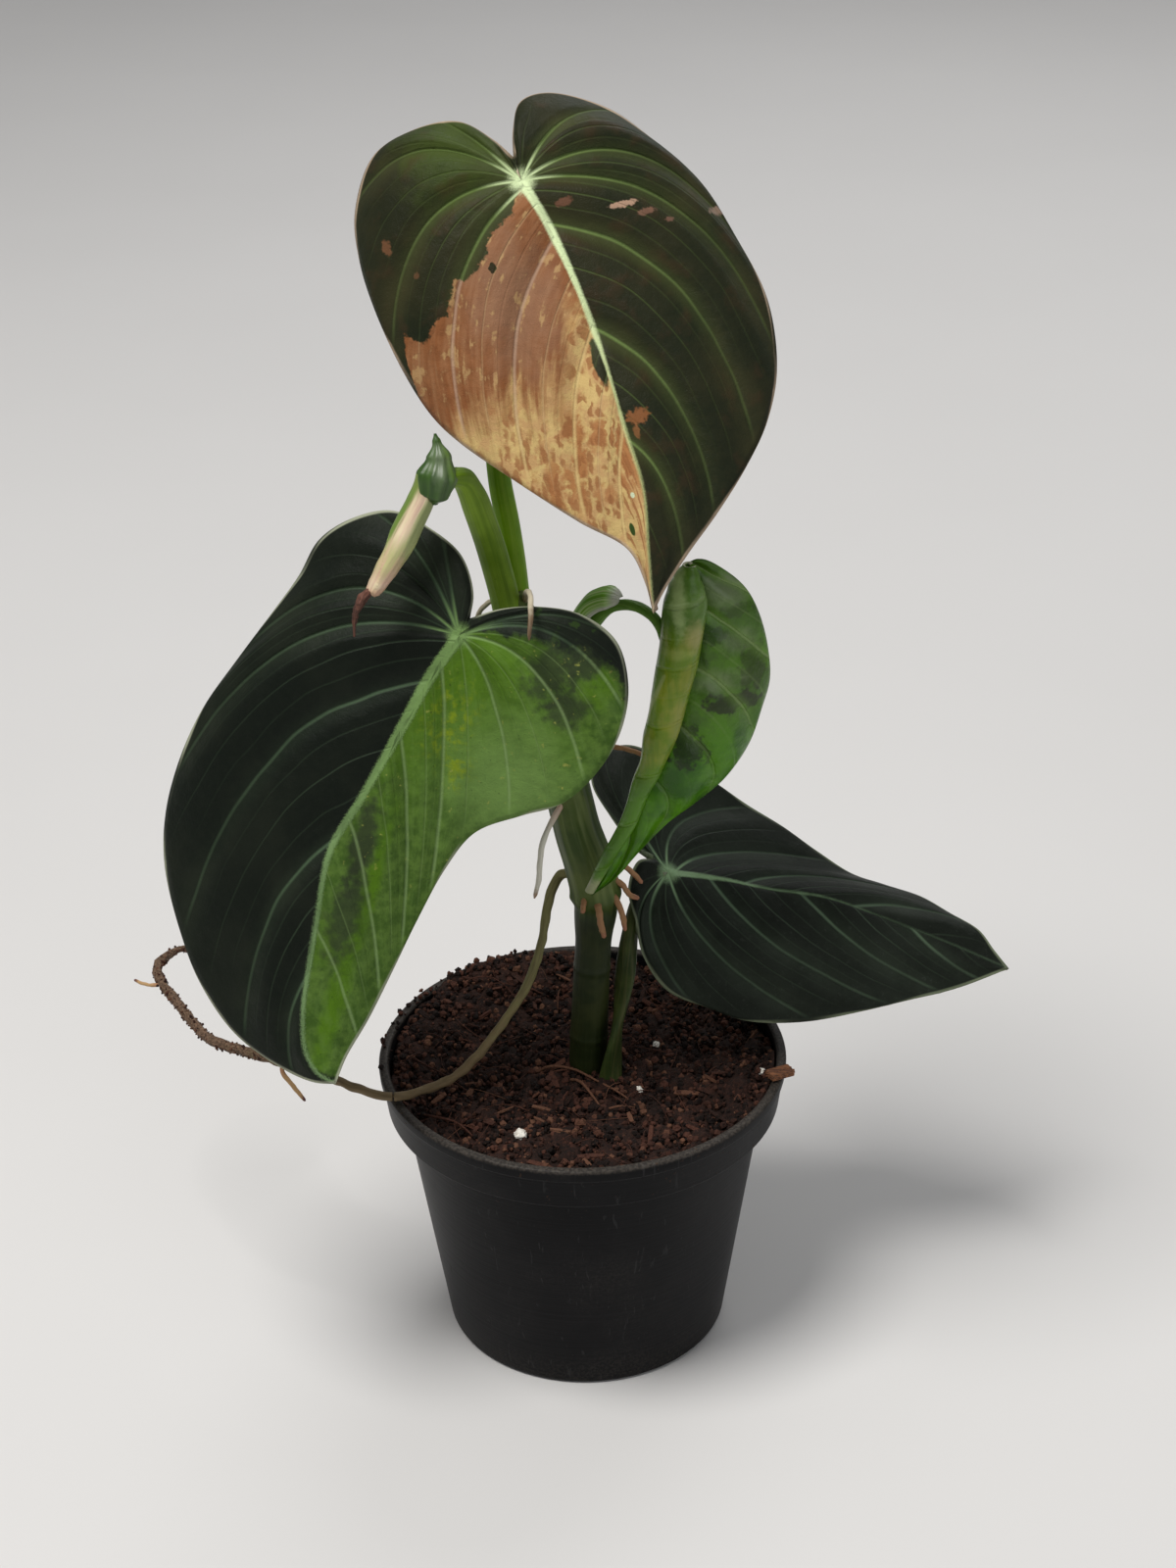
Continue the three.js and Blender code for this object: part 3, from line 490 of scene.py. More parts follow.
class LeafSettings(bpy.types.PropertyGroup):
    """The velvet leaves"""

    thickness: length_setting("Thickness", 0.8, "Thickness of a blade")
    copper: colour_setting("Copper", 0.215, 0.080, 0.028, "Copper of the variegated sector")
    cream: colour_setting("Cream", 0.54, 0.385, 0.155, "Cream of the variegated sector")
    green: colour_setting("Bright green", 0.070, 0.155, 0.006, "Bright green of the variegated sector")
    under: colour_setting("Underside", 0.085, 0.115, 0.055, "Pale underside")


class StemSettings(bpy.types.PropertyGroup):
    """The stem, petioles and roots"""

    stem: colour_setting("Stem", 0.034, 0.062, 0.008, "Young part of the stem")
    petiole: colour_setting("Petiole", 0.115, 0.175, 0.030, "Petioles and the young part of the stem")
    root: colour_setting("Root", 0.32, 0.165, 0.072, "Young aerial roots")
    bark: colour_setting("Root bark", 0.17, 0.120, 0.060, "The long aerial root")


def settings(name):
    return getattr(bpy.context.scene, "plant_" + name)


# The velvet leaves

# A heart-shaped blade. Each half is swept by its veins: vein s leaves the midrib and arches
# forward to the margin, s is 0 at the notch behind the petiole and 1 at the tip.

SIDES = ("left", "right")
BLADE = {
    "basal_share": 0.6,  # the part of each margin that is fed by veins from the petiole itself
    "forward_power": 2.2,  # how the other veins are spread along the midrib
    "lean_by": 0.3,  # the veins arch back fully from here on
    "upright_from": 0.83,  # and straighten again from here to the tip
    "broad_from": 0.2,  # between these places the bend moves out to the leaf's own sweep
    "broad_by": 0.9,
    "rows": 230,
    "columns": 84,
    "midrib_steps": 160,  # how finely the distances to the midrib and the margin are measured
    "margin_steps": 500,
    "keel_reach": 3.2,  # how far the keel under the midrib spreads
    "full_room": 14,  # the blade swells fully where its strong veins lie this far apart
    "full_reach": 24,  # and where it reaches this far out
    "crease": 0.10,
}

LEAF_TOP = {
    "node": "leaf_top",
    "facing": (0, -0.87, 0.5),
    "midrib": [
        (-11, -6, 355), (-4, -11, 344), (3, -19, 330), (9, -28, 315), (14, -38, 300), (18, -46, 288),
        (19, -53, 275), (20, -59, 260),
    ],
    "notch": (-13, -2, 360),
    "right": [
        (-13, 5, 365), (-11, 12, 370), (-4, 16, 371), (11, 16, 367), (22, 13, 360), (34, 8, 350),
        (43, 2, 337), (51, -6, 323), (53, -16, 308), (50, -25, 297), (44, -34, 288), (37, -42, 280),
        (29, -50, 272), (23, -56, 265),
    ],
    "left": [
        (-18, 3, 363), (-27, 9, 366), (-39, 12, 363), (-49, 11, 357), (-54, 6, 344), (-53, 0, 333),
        (-49, -8, 322), (-42, -17, 309), (-35, -24, 300), (-28, -30, 295), (-14, -37, 287),
        (2, -45, 279), (14, -51, 274), (18, -55, 267),
    ],
    "camber": 0.1,
    "arch": 0.5,
    "sweep": {"left": 1.1, "right": 1.15},
    "veins": {
        "left": [0.12, 0.29, 0.49, 0.66, 0.765, 0.85, 0.91],
        "right": [0.22, 0.44, 0.61, 0.745, 0.85, 0.92],
    },
    "relief": 2.2,
    "wave": 1.2,
    "waves": 3,
    "keel": 1.4,
}

LEAF_FRONT = {
    "node": "leaf_front",
    "facing": (-0.05, -0.96, 0.26),
    "midrib": [
        (-30, -30, 241), (-38, -32, 230), (-45, -34, 218), (-57, -38, 198), (-66, -42, 184),
        (-70, -46, 168), (-73, -50, 153), (-75, -54, 142), (-75, -57, 130), (-72, -59, 124),
        (-67, -60, 121),
    ],
    "notch": (-27, -28, 245),
    "right": [
        (-19, -29, 248), (-9, -30, 249), (2, -31, 247), (11, -33, 240), (14, -36, 228), (12, -39, 217),
        (6, -40, 206), (-4, -40, 196), (-15, -38, 191), (-28, -35, 184), (-36, -36, 174),
        (-44, -39, 160), (-51, -44, 147), (-58, -50, 135), (-64, -56, 127),
    ],
    "left": [
        (-26, -25, 251), (-29, -21, 260), (-37, -17, 266), (-47, -12, 269), (-58, -10, 266),
        (-67, -10, 260), (-73, -11, 250), (-80, -13, 241), (-90, -14, 228), (-100, -17, 215),
        (-107, -20, 202), (-112, -24, 187), (-113, -28, 173), (-109, -35, 155), (-104, -41, 142),
        (-95, -48, 130), (-82, -55, 123), (-73, -59, 121),
    ],
    "camber": 0.1,
    "arch": 0.5,
    "sweep": {"left": 0.98, "right": 0.72},
    "veins": {
        "left": [0.1, 0.18, 0.39, 0.57, 0.745, 0.885, 0.95],
        "right": [0.2, 0.31, 0.42, 0.545, 0.71, 0.8, 0.87, 0.93],
    },
    "relief": 1.8,
    "wave": 1.4,
    "waves": 3,
    "keel": 1.6,
}

LEAF_BACK = {
    "node": "leaf_back",
    "facing": (0.15, -0.62, 0.77),
    "midrib": [
        (26, 15, 142), (42, 17, 138), (55, 18, 134), (71, 18, 131), (87, 17, 125), (108, 14, 117),
        (126, 10, 110),
    ],
    "notch": (22, 16, 146),
    "right": [
        (17, 13, 147), (14, 9, 140), (16, 4, 132), (18, -1, 124), (25, -5, 114), (36, -7, 109),
        (47, -8, 105), (64, -7, 104), (82, -4, 105), (96, 0, 106), (111, 5, 107),
    ],
    "left": [
        (16, 20, 148), (9, 28, 154), (4, 36, 161), (6, 42, 167), (15, 46, 168), (27, 49, 161),
        (38, 50, 154), (50, 50, 145), (62, 48, 138), (72, 45, 131), (82, 41, 125), (92, 37, 123),
        (102, 32, 122), (110, 26, 120), (118, 19, 118), (122, 14, 114),
    ],
    "camber": 0.08,
    "arch": 0.5,
    "sweep": {"left": 0.8, "right": 0.95},
    "veins": {
        "left": [0.15, 0.32, 0.5, 0.66, 0.8, 0.9],
        "right": [0.2, 0.36, 0.6, 0.75, 0.86, 0.94],
    },
    "relief": 1.5,
    "wave": 1,
    "waves": 3,
    "keel": 1.2,
}


class Blade:
    """The surface of a heart-shaped leaf"""

    def __init__(self, leaf):
        self.leaf = leaf
        self.facing = unit(leaf["facing"])
        self.midrib = smooth_line(leaf["midrib"])
        self.junction, self.tip = (np.array(leaf["midrib"][end], float) for end in (0, -1))
        self.forward = unit(self.tip - self.junction)
        self.right = unit(np.cross(self.forward, -self.facing))
        self.margin = {
            side: smooth_line([leaf["notch"], *leaf[side], leaf["midrib"][-1]]) for side in SIDES
        }
        if (self.margin["right"](0.5) - self.junction) @ self.right < 0:
            self.right = -self.right

    def vein_count(self, side, s):
        """Counts the strong veins of a half: each lies at a whole number"""
        veins = self.leaf["veins"][side]
        counts = [0.5, *range(1, len(veins) + 1), len(veins) + 0.5]
        return np.interp(s, [0, *veins, 1], counts)

    def plain(self, side, s, t):
        """A point of a half before its relief, t of the way out along vein s"""
        leaf = self.leaf
        s, t = np.asarray(s, float)[:, None], np.asarray(t, float)[:, None]
        share = BLADE["basal_share"]
        foot = self.midrib(np.clip((s[:, 0] - share) / (1 - share), 0, 1) ** BLADE["forward_power"])
        edge = self.margin[side](s[:, 0])
        reach = edge - foot
        onward = unit(self.tip - foot + 1e-9)
        ahead = np.sum(reach * onward, axis=1, keepdims=True)
        reach = reach - ahead * onward
        span = np.linalg.norm(reach, axis=1, keepdims=True)
        upright = (1 - s) / (1 - BLADE["upright_from"])
        lean = np.minimum(1, s / BLADE["lean_by"]) * np.minimum(1, 0.3 + 0.7 * upright)
        broad = 0.5 + (leaf["sweep"][side] - 0.5) * ease(s, BLADE["broad_from"], BLADE["broad_by"])
        bend = foot + reach * broad + self.facing * (leaf["camber"] * span)
        bend = bend + onward * (0.5 * ahead - leaf["arch"] * lean * span)
        return (1 - t) ** 2 * foot + 2 * t * (1 - t) * bend + t ** 2 * edge

    def spacing(self, side, s, t):
        """Millimetres between strong veins, measured across them"""
        (s0, s1), (t0, t1) = (np.clip([at - NUDGE, at + NUDGE], 0, 1) for at in (s, t))
        over = self.plain(side, s1, t) - self.plain(side, s0, t)
        out = unit(self.plain(side, s, t1) - self.plain(side, s, t0) + 1e-9)
        counted = self.vein_count(side, s1) - self.vein_count(side, s0)
        return np.linalg.norm(np.cross(over, out), axis=1) / counted

    def relief(self, side, s, t, spacing):
        """How far the blade swells between its veins, and waves at its margin"""
        leaf = self.leaf
        count = self.vein_count(side, s)
        reach = np.linalg.norm(self.plain(side, s, 0 * s + 1) - self.plain(side, s, 0 * s), axis=1)
        room = np.minimum(1, spacing / BLADE["full_room"]) * ease(reach, 0, BLADE["full_reach"])
        room = room * ease(-s, -1, -0.9)
        fade = np.sin(np.pi * np.clip(t, 0, 1) ** 0.8) ** 0.5
        swell = leaf["relief"] * np.abs(np.sin(np.pi * count)) ** 0.75 * room * fade
        crease = BLADE["crease"] * leaf["relief"] * np.abs(np.cos(np.pi * count)) ** 0.5 * room * fade
        wave = leaf["wave"] * np.sin(leaf["waves"] * TURN * s) * t ** 3 * np.sin(np.pi * s)
        return swell + crease + wave


def velvet_blade(leaf, *materials):
    """The blade as one closed sheet with a keel under its midrib"""
    blade = Blade(leaf)
    piece, s, v = grid(leaf["node"] + "_blade", BLADE["rows"], BLADE["columns"])
    v = 2 * v - 1
    points = np.zeros((len(s), 3))
    space = np.zeros(len(s))
    for side, half in (("left", v <= 0), ("right", v > 0)):
        at = s[half], np.abs(v[half])
        space[half] = blade.spacing(side, *at)
        swell = blade.relief(side, *at, space[half])
        points[half] = blade.plain(side, *at) + blade.facing * swell[:, None]
    move_points(piece, points)

    rib = nearest(points, blade.midrib(np.linspace(0, 1, BLADE["midrib_steps"])))
    steps = np.linspace(0, 1, BLADE["margin_steps"])
    rim = nearest(points, np.vstack([blade.margin[side](steps) for side in SIDES]))
    for name, values in (("spacing", space), ("rib", rib), ("rim", rim), ("share", s)):
        mark(piece, name, values)

    index = corners(piece)
    rightward = np.repeat(v[index].reshape(-1, 4).mean(axis=1) > 0, 4)
    count = np.where(rightward, blade.vein_count("right", s[index]), blade.vein_count("left", s[index]))
    chart(piece, "vein", count, np.where(rightward, 1, -1) * np.abs(v[index]))
    offset = points[index] - blade.junction
    chart(piece, "flat", offset @ blade.forward, offset @ blade.right)

    keel = piece.vertex_groups.new(name="keel")
    total = settings("leaf").thickness / MM + leaf["keel"]
    thin = settings("leaf").thickness / MM / total
    for i in np.nonzero(rib < BLADE["keel_reach"])[0]:
        keel.add([int(i)], float((1 - rib[i] / BLADE["keel_reach"]) ** 0.8), "REPLACE")
    weld(piece, outward=False)
    face_towards(piece, blade.facing)
    dress(piece, *materials)
    thicken(
        piece, total, vertex_group="keel", thickness_vertex_group=thin,
        material_offset=1, material_offset_rim=2,
    )
    smooth(piece)
    return piece


# Finishes of the velvet leaves


class LeafMaps:
    """What a leaf's finish reads: its veins, its own plane and its distances in millimetres"""

    def __init__(self, finish):
        self.count, self.side = finish.chart("vein")
        self.ahead, self.out = finish.chart("flat")
        self.plane = finish.vector(self.ahead, self.out)
        self.reach = abs(self.side)
        self.share = finish.mark("share")
        self.spacing = finish.mark("spacing")
        self.rib = finish.mark("rib")
        self.rim = finish.mark("rim")
        self.right = self.side.rise(-0.001, 0.001)
        self.count = self.count + (finish.noise(0.05, 1.0) - 0.5) * 0.10
        self.strong = self.count.fold(0.5) * self.spacing
        self.weak = (self.count + 0.5).fold(0.5) * self.spacing
        self.fine = (self.count * 2 + 0.5).fold(0.5) * self.spacing * 0.5
        self.streaks = finish.noise(1.0, where=finish.vector(self.count * 9, self.reach * 5))


# How each leaf is coloured. near and far are how strongly its veins show at their root and at
# the margin. midrib is the half width of the midrib's pale band, as a share of midrib_scale in
# millimetres, at shares of the leaf's length, and fuzz is how ragged that band is. It goes from
# top at the petiole to low at the tip, and star is how far its rays reach out from the petiole.

TOP_LOOK = {
    "dark": (0.013, 0.017, 0.007),
    "light": (0.033, 0.031, 0.012),
    "vein": (0.13, 0.19, 0.055),
    "near": 0.85,
    "far": 0.20,
    "halo": 0.40,
    "length": 105,
    "midrib": [(0.0, 1.0), (0.2, 0.78), (0.4, 0.60), (0.6, 0.42), (0.8, 0.28), (1.0, 0.18)],
    "midrib_scale": 1.25,
    "fuzz": 0.4,
    "top": (0.62, 0.74, 0.42),
    "low": (0.42, 0.46, 0.20),
    "star": 12,
    "margin": (0.44, 0.33, 0.23),
}

FRONT_LOOK = {
    "dark": (0.005, 0.008, 0.005),
    "light": (0.014, 0.018, 0.011),
    "vein": (0.070, 0.115, 0.062),
    "near": 0.75,
    "far": 0.26,
    "halo": 0.16,
    "length": 125,
    "midrib": [(0.0, 1.0), (0.2, 0.85), (0.4, 0.62), (0.6, 0.5), (0.8, 0.4), (1.0, 0.3)],
    "midrib_scale": 1.7,
    "fuzz": 1.2,
    "top": (0.17, 0.28, 0.09),
    "low": (0.15, 0.24, 0.10),
    "star": 13,
    "margin": (0.36, 0.38, 0.27),
}

BACK_LOOK = {
    "dark": (0.008, 0.011, 0.007),
    "light": (0.020, 0.026, 0.018),
    "vein": (0.095, 0.145, 0.088),
    "near": 0.88,
    "far": 0.28,
    "halo": 0.16,
    "length": 105,
    "midrib": [(0.0, 1.0), (0.12, 0.5), (0.3, 0.32), (0.6, 0.25), (1.0, 0.15)],
    "midrib_scale": 1.3,
    "fuzz": 0.5,
    "top": (0.22, 0.34, 0.18),
    "low": (0.055, 0.085, 0.050),
    "star": 13,
    "margin": (0.18, 0.21, 0.13),
}


def velvet_finish(name, sector, look):
    """The velvety upper face: dark between sunken pale veins, with the leaf's own variegation"""
    f = Finish(name)
    m = LeafMaps(f)
    out_share = m.reach.rise(0.0, 0.75)
    strength = look["near"] * (1 - out_share) + look["far"] * out_share
    core = m.strong.rise(0.75, 0.10) * m.reach.rise(1.0, 0.9)
    halo = m.strong.rise(4.2, 0.1) * m.reach.rise(1.0, 0.35)
    weak = m.weak.rise(0.38, 0.06) * m.reach.rise(1.0, 0.8)
    fine = m.fine.rise(0.38, 0.06) * m.reach.rise(0.95, 0.7) * m.spacing.rise(5, 10)
    painted_crest_shade = m.strong.rise(1.2, 6.5)
    vein = look["vein"]

    broad = f.noise(0.045, 3.0)
    nap = f.noise(0.5, 4.0, 0.65)
    base = f.mix(broad.rise(0.35, 0.7), look["dark"], look["light"])
    base = f.mix(nap.rise(0.3, 0.75) * 0.30, base, look["light"])
    # Painted shade: the crests midway between the strong veins are darkened
    base = f.mix(painted_crest_shade * 0.45, base, shade(look["dark"], 0.6))
    base = f.mix(halo * look["halo"], base, f.mix(0.35, look["light"], vein))
    base = f.mix(fine * 0.16 * strength, base, vein)
    base = f.mix(weak * 0.34 * strength, base, vein)
    base = f.mix(core * strength, base, vein)
    colour_here, bloom = sector(f, m, base, core, weak)

    fuzz = f.noise(3.2, 2.0, 0.8) - 0.5
    half_width = f.curve(m.ahead / look["length"], look["midrib"]) * look["midrib_scale"]
    band = (m.rib - half_width + fuzz * look["fuzz"]).rise(0.45, -0.35)
    onward = m.ahead.rise(0.1 * look["length"], 0.8 * look["length"])
    band_tone = f.mix(onward, look["top"], look["low"])
    colour_here = f.mix(band * 0.92, colour_here, band_tone)
    centre = f.length(m.plane) + fuzz * 2
    star = centre.rise(4.4, 1.2) | centre.rise(look["star"], 2) * m.strong.rise(0.65, 0.1) * 0.85
    colour_here = f.mix(star * 0.9, colour_here, look["top"])
    edge = m.rim.rise(1.05, 0.45) * centre.rise(5, 9)
    colour_here = f.mix(edge * 0.85, colour_here, look["margin"])

    velvet = f.noise(5.0, 3.0, 0.7)
    grain = f.noise(1.6, 3.0, 0.6)
    height = velvet * 0.10 + grain * 0.10 - core * 0.22 - weak * 0.16 - fine * 0.08 + band * 0.25
    height = height + f.noise(0.22, 2.0) * 0.5
    height = height + m.strong.rise(0.0, 5.0) * m.reach.rise(1.0, 0.7) * 0.9
    return f.surface(
        colour_here, 0.50 + bloom * 0.1 - band * 0.1, height, 0.9, 0.10,
        Sheen_Weight=0.04, Sheen_Roughness=0.45, Sheen_Tint=(0.62, 0.72, 0.60, 1),
    )


def under_finish(name, sector):
    """The smooth pale underside with raised veins"""
    tones = settings("leaf")
    f = Finish(name)
    m = LeafMaps(f)
    core = m.strong.rise(0.9, 0.3) * m.reach.rise(1.0, 0.85)
    weak = m.weak.rise(0.6, 0.15)
    net = f.cells(f.place, 0.42, "DISTANCE_TO_EDGE").rise(0.12, 0.02)
    under = tuple(tones.under)
    base = f.mix(f.noise(0.06).rise(0.3, 0.7), under, shade(under, 0.72))
    colour_here, bloom = sector(f, m, base, core, weak)
    colour_here = f.mix(0.5, base, colour_here)
    colour_here = f.mix(net * 0.14, colour_here, (0.16, 0.20, 0.10))
    colour_here = f.mix((core | weak * 0.5) * 0.5, colour_here, (0.21, 0.25, 0.11))
    colour_here = f.mix((m.rib - 1.6).rise(0.8, -0.4), colour_here, (0.20, 0.26, 0.09))
    height = core * 0.55 + weak * 0.22 + net * 0.08 + f.noise(1.5) * 0.06
    return f.surface(colour_here, 0.48 + bloom * 0.08, height, 0.8, 0.4)


def margin_finish(name, tone):
    """The thin pale edge of a blade"""
    f = Finish(name)
    cloud = f.noise(0.4)
    return f.surface(f.mix(cloud, tone, shade(tone, 0.7)), 0.5 + cloud * 0.1)


def no_sector(f, m, base, core, weak):
    """An evenly dark leaf, with a dusty bloom"""
    dust = f.noise(0.9, 4.0, 0.7).rise(0.58, 0.75)
    return f.mix(dust * 0.14, base, (0.09, 0.10, 0.085)), dust


def top_sector(f, m, base, core, weak):
    """Cream and copper on the left half below a ragged line, and small patches elsewhere"""
    tones = settings("leaf")
    copper, cream = tuple(tones.copper), tuple(tones.cream)
    start = f.curve(m.reach, [
        (0.0, 0.64), (0.1, 0.69), (0.24, 0.675), (0.3, 0.69), (0.42, 0.675), (0.47, 0.645),
        (0.61, 0.645), (0.65, 0.622), (0.77, 0.6), (0.87, 0.532), (0.93, 0.535), (1.0, 0.565),
    ])
    ragged = (f.noise(0.7, 3.0, 0.6) - 0.5) * 0.028
    mask = (m.share - start + ragged).rise(-0.003, 0.003) * (1 - m.right)
    nick = f.blob(m.plane, (49.0, 5.3), (6, 1.5), 0.2)
    spot = f.blob(m.plane, (18.7, -13.2), (1.4, 0.9), 0.4)
    mask = mask * (1 - nick) * (1 - spot)

    soft = f.noise(0.28, 3.0, 0.6)
    lengthwise = (m.ahead + m.out - 34) * 0.030
    beside = m.rib.rise(10, 2) * m.ahead.rise(26, 42)
    creamy = lengthwise + (m.streaks - 0.5) * 1.1 + (soft - 0.5) * 1.0 + beside * 0.85
    creamy = creamy + m.strong.rise(3.2, 0.3) * lengthwise.rise(-0.6, 0.4) * 0.65
    creamy = creamy + m.reach.rise(0.5, 0.95) * m.ahead.rise(28, 50) * 0.75
    body = f.mix(m.streaks.rise(0.35, 0.7) * 0.6, copper, (0.31, 0.155, 0.072))
    body = f.mix(soft.rise(0.42, 0.70) * 0.6, body, (0.150, 0.055, 0.021))
    # Painted sheen: a pinkish-grey veil over the middle of the copper sector
    painted_sheen = f.blob(m.plane, (27, -11), (17, 11), 0.4, 0.7, 0.15)
    body = f.mix(painted_sheen * 0.6, body, (0.25, 0.14, 0.085))
    islands = (soft + m.streaks * 0.8 + m.strong.rise(3, 0.5) * 0.06).rise(1.00, 1.12)
    body = f.mix(islands * 0.7, body, (0.42, 0.265, 0.115))
    yellow = f.mix(soft.rise(0.42, 0.6), cream, (0.47, 0.29, 0.125))
    body = f.mix(creamy.rise(0.0, 0.85), body, yellow)
    warp = (f.noise(0.28, 3.0, 0.6) - 0.5) * 1.6
    large = f.spots(f.vector(m.count * 3.0 + warp, m.reach * 6 + m.count - warp), 0.66, 0.52, 0.16)
    large = large * (lengthwise + m.rib.rise(12, 3) * 0.5).rise(0.3, 0.8) * m.ahead.rise(90, 78)
    body = f.mix(large * 0.85, body, (0.33, 0.130, 0.045))
    small = f.spots(f.vector(m.count * 7 + warp, m.reach * 14 + m.count * 2 - warp), 0.72, 0.48, 0.14)
    body = f.mix(small * creamy.rise(0.1, 0.8) * 0.8, body, (0.27, 0.110, 0.040))
    vein = f.mix(lengthwise.rise(-0.2, 0.5), (0.40, 0.27, 0.19), (0.56, 0.42, 0.18))
    body = f.mix(core * 0.6, body, vein)
    body = f.mix(weak * 0.28, body, (0.46, 0.31, 0.16))
    speck = f.noise(1.4, 2.0).rise(0.70, 0.76)
    body = f.mix(speck * 0.4, body, (0.17, 0.11, 0.035))
    slit = f.blob(m.plane, (91.5, 1.1), (1.7, 0.6), 0.1)
    body = f.mix(slit, body, (0.03, 0.06, 0.012))
    body = f.mix(f.blob(m.plane, (83.5, 3.6), (0.7, 0.5), 0.1), body, (0.55, 0.62, 0.42))
    result = f.mix(mask, base, body)

    # Painted sheen: a lighter green patch on the left lobe beside the junction, outside the variegated
    # sector
    green = f.blob(m.plane, (-13, -15), (13, 10), 0.4, 0.8, 0.2)
    result = f.mix(green * 0.5 * (1 - mask), result, (0.060, 0.095, 0.012))
    result = f.patches(result, m.plane, (0.5, 0.3, 0.9), [
        ((8, 8.6), (1.0, 2.2), 0.7, (0.17, 0.075, 0.045)),
        ((12.4, 22.7), (0.8, 3.2), 0.95, (0.40, 0.25, 0.17)),
        ((15.6, 28), (0.8, 2.2), 0.7, (0.24, 0.12, 0.08)),
        ((19, 33), (0.6, 1.2), 0.6, (0.20, 0.10, 0.07)),
        ((19, 46), (1.2, 2.0), 0.7, (0.30, 0.20, 0.15)),
        ((65, 10.6), (2.0, 2.8), 0.75, (0.26, 0.10, 0.035)),
        ((68.5, 9.2), (1.6, 0.8), 0.7, (0.28, 0.12, 0.045)),
        ((4.7, -37.2), (1.9, 1.2), 0.6, (0.20, 0.085, 0.040)),
        ((14, -32), (0.8, 0.7), 0.5, (0.16, 0.07, 0.035)),
    ], within=1 - mask)
    russet = f.noise(0.11, 3.0).rise(0.52, 0.70) * m.strong.rise(0.5, 3)
    result = f.mix(russet * 0.4 * (1 - mask), result, (0.048, 0.026, 0.012))
    return result, mask


def front_sector(f, m, base, core, weak):
    """Near black on the left half; green with grey stains on most of the right half"""
    tones = settings("leaf")
    bright, grey_green = tuple(tones.green), (0.085, 0.155, 0.026)
    start = f.curve(m.reach, [
        (0.0, 0.33), (0.25, 0.36), (0.45, 0.34), (0.6, 0.32), (0.8, 0.285), (0.92, 0.275), (1.0, 0.29),
    ])
    soft = f.noise(0.3, 4.0, 0.6)
    upper = (m.share - start + (soft - 0.5) * 0.10).rise(-0.015, 0.030)
    strip = f.curve(m.ahead / FRONT_LOOK["length"], [
        (0.0, 1.0), (0.74, 1.0), (0.80, 0.982), (0.92, 0.982), (1.0, 0.992),
    ])
    lower = (m.share - strip + (soft - 0.5) * 0.012).rise(0.003, -0.003)
    mask = m.right * upper * lower

    body = f.mix(soft.rise(0.35, 0.65), grey_green, (0.042, 0.090, 0.012))
    vivid = f.blob(m.plane, (16, 8), (28, 15), 0.35, 0.8, 0.15)
    body = f.mix(vivid * 0.85, body, bright)
    body = f.patches(body, m.plane, (0.35, 0.6, 0.3), [
        ((30, -6), (26, 7), 0.45), ((2, 39), (6, 4.5), 0.75), ((20, 32), (12, 8), 0.35),
        ((74, -4.8), (17, 1.9), 0.95), ((108, -6), (17, 2.6), 0.95), ((92, -13), (6, 3), 0.5),
    ], bright)
    # Painted highlight: a lighter green patch on the right half
    painted_shine = f.blob(m.plane, (36, 22), (17, 16), 0.3, 0.9, 0.15)
    body = f.mix(painted_shine * 0.75, body, (0.16, 0.27, 0.070))
    fibres = m.streaks.rise(0.45, 0.7)
    body = f.mix(fibres * 0.30, body, (0.115, 0.20, 0.045))
    body = f.patches(body, m.plane, (0.5, 0.5, 0.35), [
        ((2.5, 25), (8, 5.5), 0.8), ((11, 32), (5, 5), 0.8), ((-3, 33), (6, 5), 0.85),
        ((62, -10), (13, 3.2), 0.85), ((83, -9.5), (14, 4.0), 0.75), ((44, -5), (3, 3), 0.3),
    ], (0.028, 0.038, 0.018))
    loose = (0.6, 0.7, 0.5)
    gold = f.blob(m.plane, (24, 3.5), (9, 5), *loose) | f.blob(m.plane, (36, 8), (5, 4), *loose)
    body = f.mix(gold * f.noise(0.4).rise(0.42, 0.66) * 0.8, body, (0.20, 0.27, 0.010))
    speck = f.noise(0.45, 2.0).rise(0.66, 0.76) * m.ahead.rise(80, 60)
    body = f.mix(speck * 0.7, body, (0.30, 0.32, 0.07))
    dot = f.noise(1.3, 2.0).rise(0.68, 0.74)
    body = f.mix(dot * 0.6, body, (0.02, 0.04, 0.010))
    body = f.mix(core * 0.50, body, (0.22, 0.32, 0.13))
    body = f.mix(weak * 0.28, body, (0.18, 0.27, 0.09))
    islands = f.noise(0.28, 3.0).rise(0.58, 0.68) * m.right * m.share.rise(0.45, 0.2)
    result = f.mix(islands * 0.5, base, (0.035, 0.075, 0.010))
    return f.mix(mask, result, body), mask


# The young leaf, not yet unrolled

# Going down it, each section runs from the open edge at the right to the back of the roll,
# and then round the roll: left, front, right and inside.

LEAF_YOUNG = {
    "centre": [
        (31, -17, 254), (30, -18, 243), (29, -18, 233), (27, -18, 221), (24.5, -18, 209),
        (21.3, -17, 196), (18, -16, 187), (14, -15, 175), (8.6, -14, 164), (3.3, -12, 152),
    ],
    "edge": [
        (30, -15, 254), (34, -14, 254.5), (40, -12, 250.5), (46, -10, 244), (50, -8, 235),
        (52.5, -7, 224), (53, -7, 215), (51, -7, 206.5), (47.5, -8, 196), (41, -9, 186),
        (33, -10, 179), (25, -11, 173), (17, -12, 164.5), (10, -11.5, 155.5), (3.5, -12, 150.5),
    ],
    "roll_radius": [
        (0, 1.6), (0.03, 3.9), (0.06, 5.2), (0.1, 5.8), (0.2, 5.7), (0.34, 5.2), (0.46, 4.6),
        (0.58, 3.3), (0.7, 2.3), (0.85, 1.9), (1, 1.1),
    ],
    "turn": [(0, 4.2), (0.12, 6.9), (0.45, 6.6), (0.7, 4.9), (1, 3.6)],
    "inward": 2.4,
    "bulge": 0.2,
    "veins": 6,
    "vein_drop": 1.3,
    "relief": 1.5,
    "thickness": 0.7,
    "rows": 190,
    "open_share": 0.4,
    "columns": 120,
}


